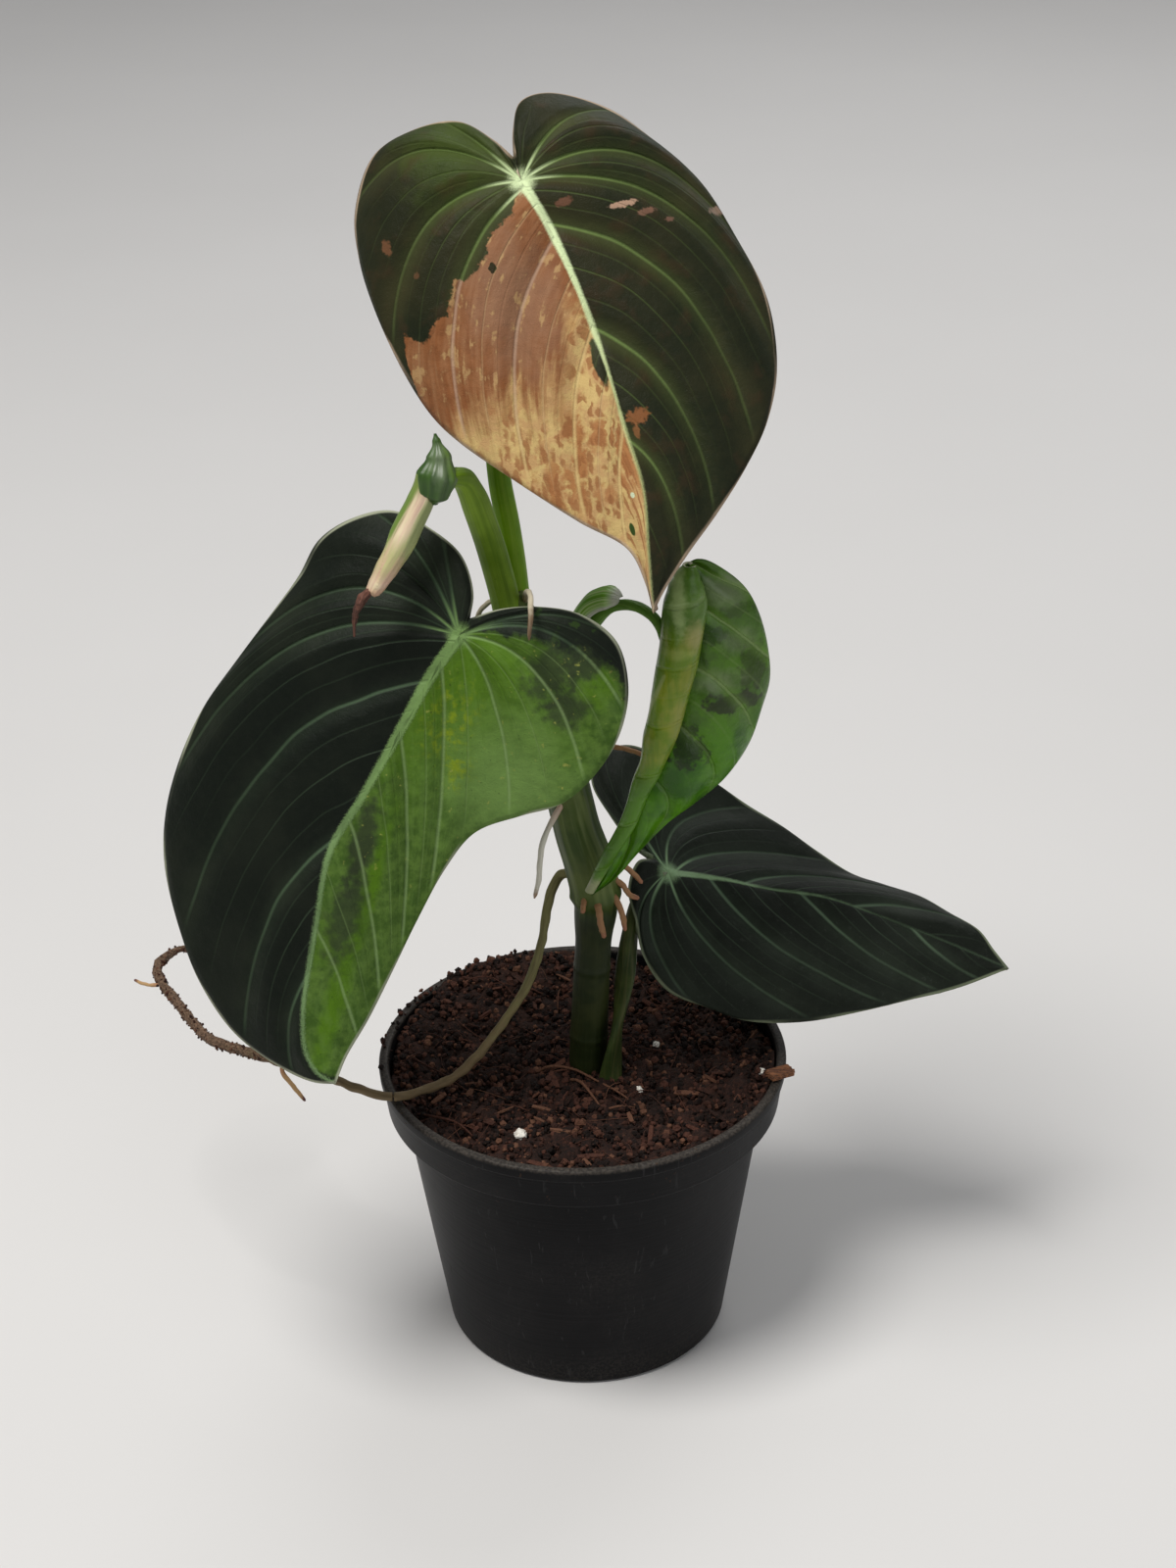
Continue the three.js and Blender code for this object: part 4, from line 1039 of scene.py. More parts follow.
def young_vein(down, outward):
    """Counts the veins of the young leaf, which drop as they leave the roll"""
    leaf = LEAF_YOUNG
    return down * leaf["veins"] + leaf["vein_drop"] * (1 - outward ** 1.6)


def young_surface(down, across):
    """Points of the young leaf: across is 0 at the open edge and 1 inside the roll"""
    leaf = LEAF_YOUNG
    centre = smooth_line(leaf["centre"])(down)
    edge = smooth_line(leaf["edge"])(down)
    radius = along(leaf["roll_radius"], down)
    back = centre + radius[:, None] * np.array([0, 1, 0])
    t = np.clip(1 - across / leaf["open_share"], 0, 1)
    span = np.linalg.norm(edge - back, axis=1)
    count = young_vein(down, t)
    swell = leaf["relief"] * np.abs(np.sin(np.pi * count)) ** 0.6 * np.sin(np.pi * t) ** 0.5
    swell = swell * np.minimum(1, span / 18)
    forward = 4 * t * (1 - t) * leaf["bulge"] * np.maximum(0, span - 5) + swell
    blade = back + (edge - back) * t[:, None] - forward[:, None] * np.array([0, 1, 0])

    f = np.clip((across - leaf["open_share"]) / (1 - leaf["open_share"]), 0, 1)
    angle = np.pi / 2 + along(leaf["turn"], down) * f
    ribbed = 0.25 * np.sin(np.pi * (down * 6 + 0.6 + 0.35 * f)) ** 2 * np.minimum(1, radius / 5)
    r = radius - leaf["inward"] * np.minimum(1, radius / 5) * f ** 1.5 + ribbed * np.minimum(1, f * 6)
    roll = centre + np.stack([r * np.cos(angle), r * np.sin(angle), 0 * r], axis=1)
    return np.where((across <= leaf["open_share"])[:, None], blade, roll), t, f


def young_blade(*materials):
    leaf = LEAF_YOUNG
    piece, down, across = grid("leaf_young_blade", leaf["rows"], leaf["columns"])
    points, t, f = young_surface(down, across)
    move_points(piece, points)
    index = corners(piece)
    chart(piece, "vein", young_vein(down, t)[index] + 0.35 * f[index], t[index])
    chart(piece, "roll", f[index], down[index])
    weld(piece, outward=False)
    face_towards(piece, (0, -1, 0))
    dress(piece, *materials)
    thicken(piece, leaf["thickness"], material_offset=1, material_offset_rim=2)
    smooth(piece)
    return piece


def young_finish(name, outside=False):
    """Glossy young green, swollen between pale veins, with maroon stains; tan outside the roll"""
    f = Finish(name)
    count, _ = f.chart("vein")
    rolled, _ = f.chart("roll")
    x, _, z = f.parts(f.place)
    plane = f.vector(x, z)
    line = (count + (f.noise(0.12) - 0.5) * 0.10).fold(0.5)
    core = line.rise(0.05, 0.012)
    glow = line.rise(0.22, 0.0)
    weak = (count + 0.5).fold(0.5).rise(0.035, 0.01)
    green, deep, pale = (0.070, 0.215, 0.001), (0.024, 0.100, 0.001), (0.17, 0.32, 0.05)
    body = f.mix(f.noise(0.10, 3.0).rise(0.35, 0.65), green, deep)
    lower = z.rise(214, 196)
    body = f.mix((1 - lower) * 0.5, body, (0.075, 0.150, 0.012))
    body = f.mix(f.noise(0.3, 3.0).rise(0.45, 0.6) * (1 - lower) * 0.5, body, (0.045, 0.10, 0.008))
    body = f.patches(body, plane, (0.7, 0.22, 0.32), [
        ((30, 199), (5, 6), 0.9, (0.012, 0.028, 0.003)),
        ((43, 212), (7, 3), 0.9, (0.022, 0.032, 0.008)),
        ((36, 233), (5, 2.6), 0.8, (0.022, 0.060, 0.002)),
        ((48, 222), (3, 7), 0.6, (0.030, 0.042, 0.010)),
        ((31, 224), (4, 4), 0.7, (0.020, 0.050, 0.003)),
        ((44, 239), (4, 2), 0.6, (0.030, 0.060, 0.006)),
    ])
    # Painted highlights: soft pale grey patches on the swollen blade
    body = f.patches(body, plane, (0.5, 0.7, 0.3), [
        ((41, 245), (7, 4), 0.6), ((38, 218.5), (6, 3), 0.55), ((44, 230), (4, 3), 0.45),
    ], (0.21, 0.25, 0.14))
    upper = 1 - lower * 0.75
    body = f.mix(glow * 0.40 * upper, body, pale)
    body = f.mix((core * 0.45 + weak * 0.15) * upper, body, (0.24, 0.33, 0.12))
    if outside:
        tan = f.mix(f.noise(0.16, 3.0).rise(0.35, 0.65), (0.125, 0.210, 0.004), (0.220, 0.250, 0.020))
        stripes = f.noise(0.9, where=f.stretch(f.place, 1.0, 1.0, 0.1)).rise(0.4, 0.7)
        tan = f.mix(stripes * 0.5, tan, (0.080, 0.170, 0.002))
        middle = z.rise(242, 234) * z.rise(186, 200) * rolled.rise(0.16, 0.34)
        body = f.mix(0.35, body, (0.10, 0.18, 0.03))
        body = f.mix(middle * 0.85, body, tan)
        upright = x - (z - 225) * 0.34
        flap = upright.rise(24.6, 23.4) * z.rise(226.5, 224.5) * z.rise(180, 196)
        body = f.mix(flap * 0.75, body, (0.085, 0.160, 0.012))
        overlap = abs(upright - 24) + z.rise(224, 228) * 4 + z.rise(196, 184) * 4
        body = f.mix(overlap.rise(0.7, 0.2) * 0.5, body, (0.30, 0.34, 0.14))
        body = f.patches(body, plane, (0.5, 0.6, 0.3), [
            ((31.8, 236), (2.0, 4), 0.6, (0.34, 0.30, 0.12)),
            ((27.5, 247), (1.8, 8), 0.75, (0.34, 0.44, 0.17)),
            ((27, 231), (4, 1.6), 0.5, (0.30, 0.36, 0.08)),
            ((28, 210), (2.2, 8), 0.5, (0.28, 0.28, 0.06)),
        ])
        tip = (z + (f.noise(0.5) - 0.5) * 8).rise(160, 154)
        body = f.mix(tip * 0.8, body, (0.34, 0.35, 0.20))
    relief = f.noise(0.5, 3.0) * 0.25 + f.noise(2.2, 3.0) * 0.06
    swell = line.rise(0.0, 0.45) * (0.3 if outside else 1.0)
    relief = relief - core * 0.22 - glow * 0.2 - weak * 0.06 + swell
    return f.surface(body, 0.24 + f.noise(0.8) * 0.14, relief, 0.9, 0.28)


# Round stems: a grid wrapped along a smooth route


def tube(name, spec, rows, sides, surface=None):
    """A closed round piece. surface(share, angle, radius) gives what to add to its radius."""
    line = smooth_line(spec["route"])
    piece, down, around = grid(name, rows, sides)
    row = np.round(down * rows)
    share = np.clip((row - 1) / (rows - 2), 0, 1)
    centre = line(share)
    tangent = tangent_of(line, share)
    across = square_to(tangent, np.array(spec.get("wide", (1, 0, 0)), float))
    other = np.cross(tangent, across)
    radius = along(spec["radii"], share)
    angle = around * TURN
    extra = surface(share, angle, radius) if surface else 0 * radius
    open_row = (row > 0) & (row < rows)
    long_way = np.where(open_row, radius * spec.get("broad", 1) + extra, 0) * np.cos(angle)
    short_way = np.where(open_row, radius + extra, 0) * np.sin(angle)
    move_points(piece, centre + across * long_way[:, None] + other * short_way[:, None])
    index = corners(piece)
    chart(piece, "run", (share * line.length)[index], around[index])
    mark(piece, "share", share)
    weld(piece, 0.001)
    smooth(piece)
    return piece


def ribs(count, depth, start=0.0, end=1.0):
    """Fine lengthwise ribs, fading out at both ends of a stretch"""
    def surface(share, angle, radius):
        swing = np.cos(count * angle + 2.0 * share) * 0.6 + np.cos((count * 2 - 1) * angle) * 0.4
        return depth * swing * ease(share, start, start + 0.05) * ease(-share, -end, 0.05 - end)
    return surface


def strap(start, end, narrow=0.5, wide=1.12):
    """A flattened stretch that turns over by half a turn on its way"""
    def surface(share, angle, radius):
        facing = angle - math.pi * (share - start) / (end - start)
        flat = wide * narrow / np.hypot(narrow * np.cos(facing), wide * np.sin(facing))
        fade = ease(share, start - 0.1, start + 0.1) * ease(-share, -end - 0.1, 0.1 - end)
        return radius * (flat - 1) * fade
    return surface


def strands(f, count, stretch=0.02):
    """Noise drawn out into strands that run along a round piece"""
    distance, around = f.chart("run")
    angle = around * TURN
    x, y = (angle.maths(wave, angle) * count for wave in ("COSINE", "SINE"))
    return f.noise(1.0, 3.0, 0.6, where=f.vector(x, y, distance * stretch))


def stem_finish(name, tone, light, streak, dark_share=0.0):
    """A waxy green stem: fine pale strands, darker freckles and a slight bloom"""
    f = Finish(name)
    fibre = strands(f, 2.6)
    fine = strands(f, 8.0, 0.03)
    broad = f.noise(0.08, 3.0)
    body = f.mix(broad.rise(0.35, 0.68), tone, light)
    body = f.mix(fibre.rise(0.45, 0.72) * 0.55, body, streak)
    body = f.mix(fine.rise(0.58, 0.72) * 0.35, body, streak)
    freckle = f.noise(1.3, 2.0).rise(0.66, 0.74)
    body = f.mix(freckle * 0.3, body, shade(tone, 0.4))
    if dark_share:
        low = f.mark("share").rise(dark_share + 0.03, dark_share - 0.03)
        olive = f.mix(broad.rise(0.4, 0.6), (0.012, 0.018, 0.005), (0.024, 0.029, 0.008))
        body = f.mix(low * 0.92, body, olive)
    height = fibre * 0.30 + fine * 0.12 + f.noise(1.2, 3.0) * 0.08
    return f.surface(body, 0.42 + broad * 0.14, height, 0.8, 0.2)


STEM = {
    "route": [
        (1, 0, 64), (1.5, 0, 84), (3, 0, 115), (4, 0, 132), (4.7, 0, 143), (3, 0, 154), (0, 0, 165),
        (-3, -2, 181), (-7, -4, 200), (-11, -5, 219), (-15, -6, 235), (-17, -6, 242),
    ],
    "radii": [
        (0, 5.4), (0.12, 5.6), (0.35, 5.2), (0.42, 6.2), (0.445, 6.9), (0.48, 7), (0.6, 6.4),
        (0.8, 5.8), (0.95, 5), (1, 3.6),
    ],
}
NODE_SHARE = 0.425  # where the old internode ends and the sheathed part begins
SCAR_SHARES = (0.18, 0.31)

PETIOLES = {
    "petiole_top": {
        "route": [
            (-14.5, -4.5, 233), (-15.2, -4, 240), (-16, -2.5, 250), (-17.2, -1, 260), (-19, 1, 271),
            (-20, 4, 284), (-19.5, 6, 300), (-17, 7, 320), (-14, 5, 338), (-12, 0, 350),
            (-11.2, -4.9, 353.4),
        ],
        "radii": [(0, 3.4), (0.25, 3.1), (0.5, 2.7), (0.9, 2.2), (1, 1.9)],
    },
    "petiole_new": {
        "route": [
            (-17.5, -7.5, 235), (-18.5, -8.5, 242), (-19.8, -9.5, 249), (-21.8, -11, 258.5),
            (-24, -14, 268), (-26, -17, 276), (-28, -20, 281), (-31, -23.5, 283), (-34, -25, 283),
        ],
        "radii": [(0, 3.2), (0.3, 3.2), (0.65, 3.1), (0.85, 2.6), (1, 1.9)],
        "broad": 1.22,
        "wide": (1, 0, 0.3),
    },
    "petiole_front": {
        "route": [
            (-6, -3, 196), (-11, -1, 204), (-18, -3, 215), (-24, -10, 226), (-28, -20, 235),
            (-29.9, -28.4, 240.5),
        ],
        "radii": [(0, 4), (0.3, 3), (0.8, 2.4), (1, 2.2)],
    },
    "petiole_back": {
        "route": [
            (7.5, -10, 64), (7.9, -8, 84), (10, -5.5, 100), (12.6, 0, 115), (15, 7, 129),
            (19, 13.5, 137), (25.9, 16.2, 140.6),
        ],
        "radii": [(0, 3.2), (0.5, 3.2), (0.8, 2.4), (1, 1.9)],
    },
}

PETIOLE_YOUNG = {
    "route": [
        (-8, -4, 204), (-3, -4, 214), (1, -4, 223), (4, -5, 230.5), (7.5, -7, 236), (11.5, -9, 239),
        (15, -11, 240), (18.5, -13, 239.6), (21.3, -14.8, 238), (23, -16, 235.6), (24, -16.3, 232.5),
    ],
    "radii": [(0, 3.6), (0.4, 3.2), (0.55, 2.2), (0.68, 1.5), (1, 1.4)],
}

SHEATH_YOUNG = {
    "route": [
        (-7, -4, 205), (-3.5, -3.5, 215), (-0.2, -3.6, 225), (2.8, -4.2, 232.3), (6.2, -5.8, 237.8),
        (9.5, -7.6, 240.2), (12.8, -9.3, 240.9),
    ],
    "half_width": [(0, 4), (0.5, 5), (0.8, 5), (0.92, 4.4), (0.97, 3), (1, 1.2)],
    "outward": (-0.75, 0.1, 0.65),
    "wrap": 3.3,
    "thickness": 0.8,
}


def stem_surface(share, angle, radius):
    """Ribbed above the node, with a swollen ring and a few scars below it"""
    upper = ease(share, NODE_SHARE - 0.01, NODE_SHARE + 0.01)
    rib = 0.16 * (np.cos(9 * angle + 3 * share) + 0.6 * np.cos(17 * angle))
    ring = 0.45 * np.exp(-(((share - NODE_SHARE - 0.02) / 0.012) ** 2))
    scars = sum(0.22 * np.exp(-(((share - at) / 0.006) ** 2)) for at in SCAR_SHARES)
    flute = -0.5 * ease(np.cos(angle - 1.2), 0.7, 1.0) * ease(share, 0.62, 0.9)
    return rib * upper + ring + scars * (1 - upper) + flute


def sheath_piece():
    """The winged sheath that wraps the outside of the young leaf's petiole"""
    spec = SHEATH_YOUNG
    line = smooth_line(spec["route"])
    piece, down, across = grid("petiole_young_sheath", 60, 36)
    tangent = tangent_of(line, down, 0.01)
    outward = np.array(spec["outward"], float)
    out = square_to(tangent, outward)
    side = np.cross(out, tangent)
    radius = along(spec["half_width"], down)
    angle = (across - 0.5) * spec["wrap"]
    rib = 0.14 * np.cos(angle * 16) * np.minimum(1, radius / 4)
    points = line(down) + out * (np.cos(angle) * radius * 0.75 + rib)[:, None]
    move_points(piece, points + side * (np.sin(angle) * radius)[:, None])
    index = corners(piece)
    chart(piece, "run", (down * line.length)[index], across[index])
    mark(piece, "share", down)
    weld(piece, 0.001, outward=False)
    face_towards(piece, outward)
    thicken(piece, spec["thickness"])
    smooth(piece)
    return piece


def sheath_finish(name):
    """Green, striped lengthwise, with a wide papery margin"""
    f = Finish(name)
    distance, across = f.chart("run")
    lines = f.noise(1.0, 2.0, where=f.vector(across * 26, distance * 0.02))
    body = f.mix(lines.rise(0.45, 0.66), (0.17, 0.40, 0.02), (0.55, 0.70, 0.30))
    edge = abs(across - 0.5).rise(0.35, 0.44) | f.mark("share").rise(0.92, 0.98)
    body = f.mix(edge * 0.85, body, f.mix(lines.rise(0.4, 0.6), (0.62, 0.58, 0.56), (0.38, 0.37, 0.31)))
    return f.surface(body, 0.38 + lines * 0.1, lines * 0.35, 0.7, 0.45)


# The new leaf: a tight roll that hangs from two folded base lobes and ends in a dry thread

LEAF_NEW = {
    "roll": {
        "route": [
            (-37, -25, 284), (-38.4, -26, 278), (-41.6, -28, 272), (-45, -31, 266), (-48.4, -33, 261),
            (-52, -35, 255.5),
        ],
        "radii": [(0, 2.6), (0.22, 3.3), (0.5, 3.5), (0.75, 2.8), (0.9, 2.2), (0.97, 1.9), (1, 1.2)],
    },
    "thread": {
        "route": [
            (-51, -34, 258), (-54, -36, 255), (-55.7, -37, 252), (-56.4, -37, 249), (-56.7, -38, 245),
        ],
        "radii": [(0, 0.9), (0.35, 1.25), (0.6, 0.8), (1, 0.3)],
    },
    "lobes": {
        "route": [
            (-35.8, -26, 277), (-35, -26, 280.5), (-34, -25, 285), (-33.6, -24, 289),
            (-34.4, -22.5, 294.5),
        ],
        "radii": [(0, 1.6), (0.15, 4), (0.38, 4.9), (0.65, 3), (0.88, 1.1), (1, 0.35)],
        "broad": 1.05,
        "wide": (1, 0.2, 0),
    },
}


def roll_surface(share, angle, radius):
    """The free edge of the rolled blade winds down the roll as a low step"""
    phase = np.mod(angle / TURN + 0.62 * share + 0.2, 1)
    step = 0.34 * ease(phase, 0, 1) * ease(share, 0.02, 0.2) * ease(-share, -1, -0.9)
    return step + 0.06 * np.cos(12 * angle)


def lobe_surface(share, angle, radius):
    """Two lobes pressed together, with a groove between them at the front and the back"""
    seam = np.minimum(np.abs(angle - 1.3 * np.pi), np.abs(angle - 0.35 * np.pi))
    groove = np.exp(-((seam / 0.22) ** 2)) * radius * 0.22
    veins = 0.08 * radius * np.cos(9 * angle) * np.sin(np.pi * share)
    return veins - groove


def new_roll_finish(name):
    """Pale pink and cream down the middle of the roll, and green at its sides"""
    f = Finish(name)
    fibre = strands(f, 2.2, 0.06)
    x, _, z = f.parts(f.place)
    side = x - (z - 284) * 0.62 + 37
    body = f.mix(fibre.rise(0.35, 0.65), (0.60, 0.42, 0.31), (0.66, 0.56, 0.36))
    left = (side + fibre * 3).rise(1.9, 0.2)
    body = f.mix(left * 0.95, body, (0.10, 0.19, 0.020))
    right = (side + fibre * 3).rise(4.0, 6.0) * z.rise(258, 264)
    body = f.mix(right * 0.85, body, (0.17, 0.24, 0.06))
    blush = f.blob(f.vector(x, z), (-47, 263), (3.5, 4.5), 0.5, 0.6, 0.4)
    body = f.mix(blush * 0.6, body, (0.62, 0.34, 0.26))
    cream = z.rise(272, 266) * z.rise(258, 264)
    body = f.mix(cream * (fibre.rise(0.4, 0.6) * 0.5 + 0.3), body, (0.40, 0.42, 0.17))
    body = f.mix(z.rise(278, 283) * 0.7, body, (0.17, 0.22, 0.05))
    body = f.mix(z.rise(258.5, 256.5) * 0.6, body, (0.42, 0.22, 0.12))
    return f.surface(body, 0.36 + fibre * 0.1, fibre * 0.4, 0.7, 0.45)


def new_lobe_finish(name):
    """Fresh green lobes with a pale bloom and lighter edges"""
    f = Finish(name)
    fibre = strands(f, 2.0, 0.08)
    x, _, z = f.parts(f.place)
    body = f.mix(fibre.rise(0.35, 0.65), (0.018, 0.055, 0.004), (0.040, 0.095, 0.012))
    bloom = f.blob(f.vector(x, z), (-33.2, 288), (2.4, 4), 0.4, 0.6, 0.4)
    body = f.mix(bloom * 0.4, body, (0.22, 0.26, 0.17))
    edge = (x + (z - 284) * 0.28).rise(-31.5, -29.5)
    body = f.mix(edge * 0.5, body, (0.11, 0.19, 0.02))
    return f.surface(body, 0.36 + fibre * 0.12, fibre * 0.5, 0.8, 0.5)


def dry_finish(name, tone, dark):
    """Dry brown tissue, wrinkled lengthwise"""
    f = Finish(name)
    fibre = strands(f, 1.8, 0.25)
    rough = f.noise(1.1, 4.0, 0.65)
    body = f.mix(fibre.rise(0.35, 0.7), dark, tone)
    body = f.mix(rough.rise(0.5, 0.75) * 0.4, body, shade(tone, 1.5))
    return f.surface(body, 0.62 + rough * 0.2, fibre * 0.25 + rough * 0.3, 0.9, 0.3)


# Roots

AERIAL_ROOT = {
    "route": [
        (1, 1.5, 150), (-5.5, 5.5, 147), (-9, 2, 140), (-11, -4, 131), (-15, -8, 120), (-23, -12, 108),
        (-31, -16, 99), (-37, -18, 94.2), (-45, -21, 92.1), (-55, -24, 91.7), (-65, -20, 92),
        (-75, -13, 92), (-87, -6, 92), (-100, 2, 91), (-110, 8, 91), (-116, 16, 91.5), (-123, 28, 92.5),
        (-129, 40, 92), (-131, 48, 91.5), (-129.5, 55, 91), (-125, 60, 91), (-120, 58, 92),
    ],
    "radii": [(0, 1.5), (0.12, 1.25), (0.5, 1.3), (0.6, 1.55), (0.93, 1.4), (1, 0.8)],
}
# The route and the radius of each rootlet of the long root
ROOTLETS = [
    ([(-87.5, -5.7, 92), (-88, -6.6, 89.4), (-85.5, -8, 86), (-81.5, -10, 81)], 0.7),
    ([(-128.2, 38.4, 92.1), (-130.8, 38.2, 91.6), (-134, 39, 91.6), (-137, 40, 92.5)], 0.6),
]
CRUSTED_FROM = 0.56  # share of the aerial root past which soil clings to it

# The route and the radius of each root
ROOTS = {
    "root_low_1": ([(4.5, -4, 145.5), (5.4, -8, 143.8), (5.9, -9.5, 140), (6.9, -10, 135.3)], 1),
    "root_low_2": ([(7, -3, 147.5), (10.2, -4.5, 145), (12.2, -6, 140), (12.9, -7, 135.7)], 0.95),
    "root_low_3": ([(8, -1.5, 151), (12, -2, 148.3), (14.5, -2.5, 144.9), (17, -3, 144)], 0.9),
    "root_low_4": ([(8, 1, 154), (12, 2, 152.4), (15.5, 2.6, 149), (18, 3, 145.5)], 0.85),
    "root_low_5": ([(1.5, -4, 146), (1.2, -7, 145), (0.8, -8.5, 142.6)], 0.85),
    "root_white": ([
        (-2, -5, 181), (-5.2, -7.5, 176), (-8, -10, 172), (-10, -13, 168), (-10.8, -14.3, 162.5),
        (-11.2, -14.5, 157.7), (-12.6, -13.5, 151),
    ], 0.85),
    "root_high_1": ([
        (-13, -7, 240), (-12.4, -16, 246.5), (-11.4, -25, 250.6), (-11, -31.5, 251.5),
        (-11, -35.3, 249.8), (-11.3, -36.6, 246.5), (-11.6, -36.5, 242.5),
    ], 0.8),
    "root_high_2": ([(-16, -5, 239), (-21, -6, 240), (-25, -6, 237), (-27, -5, 231)], 0.75),
    "root_thin": ([(-2, -2, 190), (7, 4, 189.5), (14, 5, 188), (21, 3, 186)], 0.8),
}


def root_spec(route, radius):
    """A root that thins a little and ends in a blunt tip"""
    radii = [(0, radius), (0.8, 0.9 * radius), (0.96, 0.7 * radius), (1, 0.3 * radius)]
    return {"route": route, "radii": radii}


def knobbly(seed, depth, size):
    """Uneven thickness along a root"""
    def surface(share, angle, radius):
        where = np.stack([np.cos(angle), np.sin(angle), share * size], axis=1)
        return radius * depth * ripple(where, 2.2, seed)
    return surface


def root_finish(name, upper, middle, tip, tip_from=0.8):
    """A root that changes tone from where it leaves the stem to its growing tip"""
    f = Finish(name)
    share = f.mark("share")
    fibre = strands(f, 1.6, 0.15)
    rough = f.noise(0.9, 3.0, 0.6)
    body = f.mix(share.rise(0.1, 0.45), upper, middle)
    body = f.mix((share + (rough - 0.5) * 0.15).rise(tip_from, tip_from + 0.12), body, tip)
    body = f.mix(fibre.rise(0.4, 0.7) * 0.35, body, shade(middle, 0.55))
    return f.surface(body, 0.5 + rough * 0.2, fibre * 0.12 + rough * 0.2, 0.8, 0.35)


def bark_root_finish(name):
    """The long root: smooth olive near the stem, brown and crusted with soil towards its end"""
    tones = settings("stem")
    bark = tuple(tones.bark)
    f = Finish(name)
    share = f.mark("share")
    fibre = strands(f, 1.5, 0.12)
    rough = f.noise(0.5, 4.0, 0.65)
    body = f.mix((share + (rough - 0.5) * 0.2).rise(0.12, 0.34), (0.165, 0.155, 0.058), bark)
    body = f.mix(fibre.rise(0.45, 0.7) * 0.5, body, shade(bark, 0.5))
    crust = (share + (rough - 0.5) * 0.5).rise(CRUSTED_FROM - 0.03, CRUSTED_FROM + 0.10)
    grit = f.noise(1.6, 3.0, 0.7)
    soil = f.mix(grit.rise(0.4, 0.65), (0.055, 0.028, 0.018), (0.19, 0.11, 0.07))
    body = f.mix(crust * 0.8, body, soil)
    return f.surface(
        body, 0.58 + rough * 0.25,
        fibre * 0.2 + grit * crust * 0.9 + rough * 0.3, 0.9, 0.3,
    )


# Loose things: crumbs and slivers copied from a few modelled ones


def copies(name, model, places, tints):
    """One mesh of copies of a model, each turned, sized and placed by a matrix, with a tint"""
    shape = points_of(model)
    faces = np.array([list(face.vertices) for face in model.data.polygons])
    points = np.concatenate([
        shape @ np.array(place.to_3x3()).T + np.array(place.translation) for place in places
    ])
    joined = np.concatenate([faces + i * len(shape) for i in range(len(places))])
    mesh = bpy.data.meshes.new(name)
    mesh.from_pydata((points * MM).tolist(), [], joined.tolist())
    piece = bpy.data.objects.new(name, mesh)
    bpy.context.collection.objects.link(piece)
    mark(piece, "tint", np.repeat(tints, len(shape)))
    bpy.data.objects.remove(model, do_unlink=True)
    return piece


def crumb_model(seed):
    """A lumpy crumb about a millimetre across, before it is sized"""
    crumb = added("crumb", bpy.ops.mesh.primitive_ico_sphere_add, subdivisions=1, radius=0.5 * MM)
    points = points_of(crumb)
    move_points(crumb, points * (1 + 0.22 * ripple(points, 0.9, seed))[:, None])
    return crumb


def sliver_model(seed):
    """A split sliver of husk, 1 long"""
    sliver = added("sliver", bpy.ops.mesh.primitive_cube_add, size=MM)
    with editing(sliver):
        bpy.ops.mesh.subdivide(number_cuts=1)
    points = points_of(sliver)
    taper = 1 - 0.7 * np.abs(points[:, :1]) ** 1.2
    tapered = points * np.hstack([np.ones_like(taper), taper, taper])
    move_points(sliver, tapered + 0.05 * ripple(points, 0.8, seed)[:, None])
    return sliver


def placed(point, size, draw, tilt=math.pi):
    """A matrix that sizes, turns and places a copy"""
    most = (("Z", 0, TURN), ("Y", -tilt, tilt), ("X", -tilt, tilt))
    about_z, about_y, about_x = (
        Matrix.Rotation(draw.uniform(low, high), 4, axis) for axis, low, high in most
    )
    return Matrix.Translation(point) @ about_z @ (about_y @ about_x) @ Matrix.Diagonal((*size, 1))


# The soil

SOIL = {
    "edge": 56.5,
    "mound_rise": 2,
    "mound_radius": 22,
    "heap_rise": 7.5,
    "heap_between": (26, 54),  # the heaps rise from the first radius to the second
    "heaps": [(2.1, 0.75, 1), (-0.2, 0.35, 0.7)],  # the middle, spread and share of each, in radians
    "rough": 1.2,
    "rows": 80,
    "around": 220,
    "crumb_reach": 56,
    "sliver_reach": 54,
    "fibre_reach": 50,
    "rim": (52, 56.3, 59.6, 90),  # spilt crumbs lie from the first radius, on the rim from the second
    # the radius and height of each step down the side of the soil
    "wall": [(56.6, 79.4), (55.7, 78.3), (52.1, 77.3), (51.2, 75.4), (39.5, 3.3), (0, 3.3)],
    "spill": (1.7, 3.3),  # crumbs lie on the rim between these angles
}

# Pale roots that show at the surface in front of the stem, each with its radius
SURFACE_ROOTS = [
    ([
        (-14, -3, 84.6), (-10, -4, 87.6), (-3, -6, 88), (4, -10.5, 86.8), (11, -16, 85.8),
        (17, -21.5, 83.6),
    ], 0.45),
    ([(-5, -7, 85), (-1, -11, 87), (3, -18, 86.2), (7, -24.5, 83.4)], 0.5),
    ([(5, -22.5, 84), (10, -22.6, 86), (16, -21, 84.2)], 0.4),
    ([(-12, -5, 85), (-6, -5.5, 87.4), (3, -3.5, 85)], 0.35),
    ([(-48, -22, 84), (-43, -27, 86.6), (-36, -31, 87), (-30, -36, 84)], 0.45),
    ([(-50, 4, 86), (-46, -4, 88.8), (-40, -9, 88.4), (-34, -12, 85)], 0.35),
]


def heap_at(x, y):
    """Height of the soil: mounded at the stem, heaped at the back left and at the right"""
    radius = np.hypot(x, y)
    angle = np.arctan2(y, x)
    level = settings("soil").level / MM
    mound = SOIL["mound_rise"] * np.exp(-((radius / SOIL["mound_radius"]) ** 2))
    heaps = [
        share * np.exp(-(((angle - middle) / spread) ** 2)) for middle, spread, share in SOIL["heaps"]
    ]
    rise = SOIL["heap_rise"] * ease(radius, *SOIL["heap_between"])
    return level + mound + rise * np.maximum(*heaps)


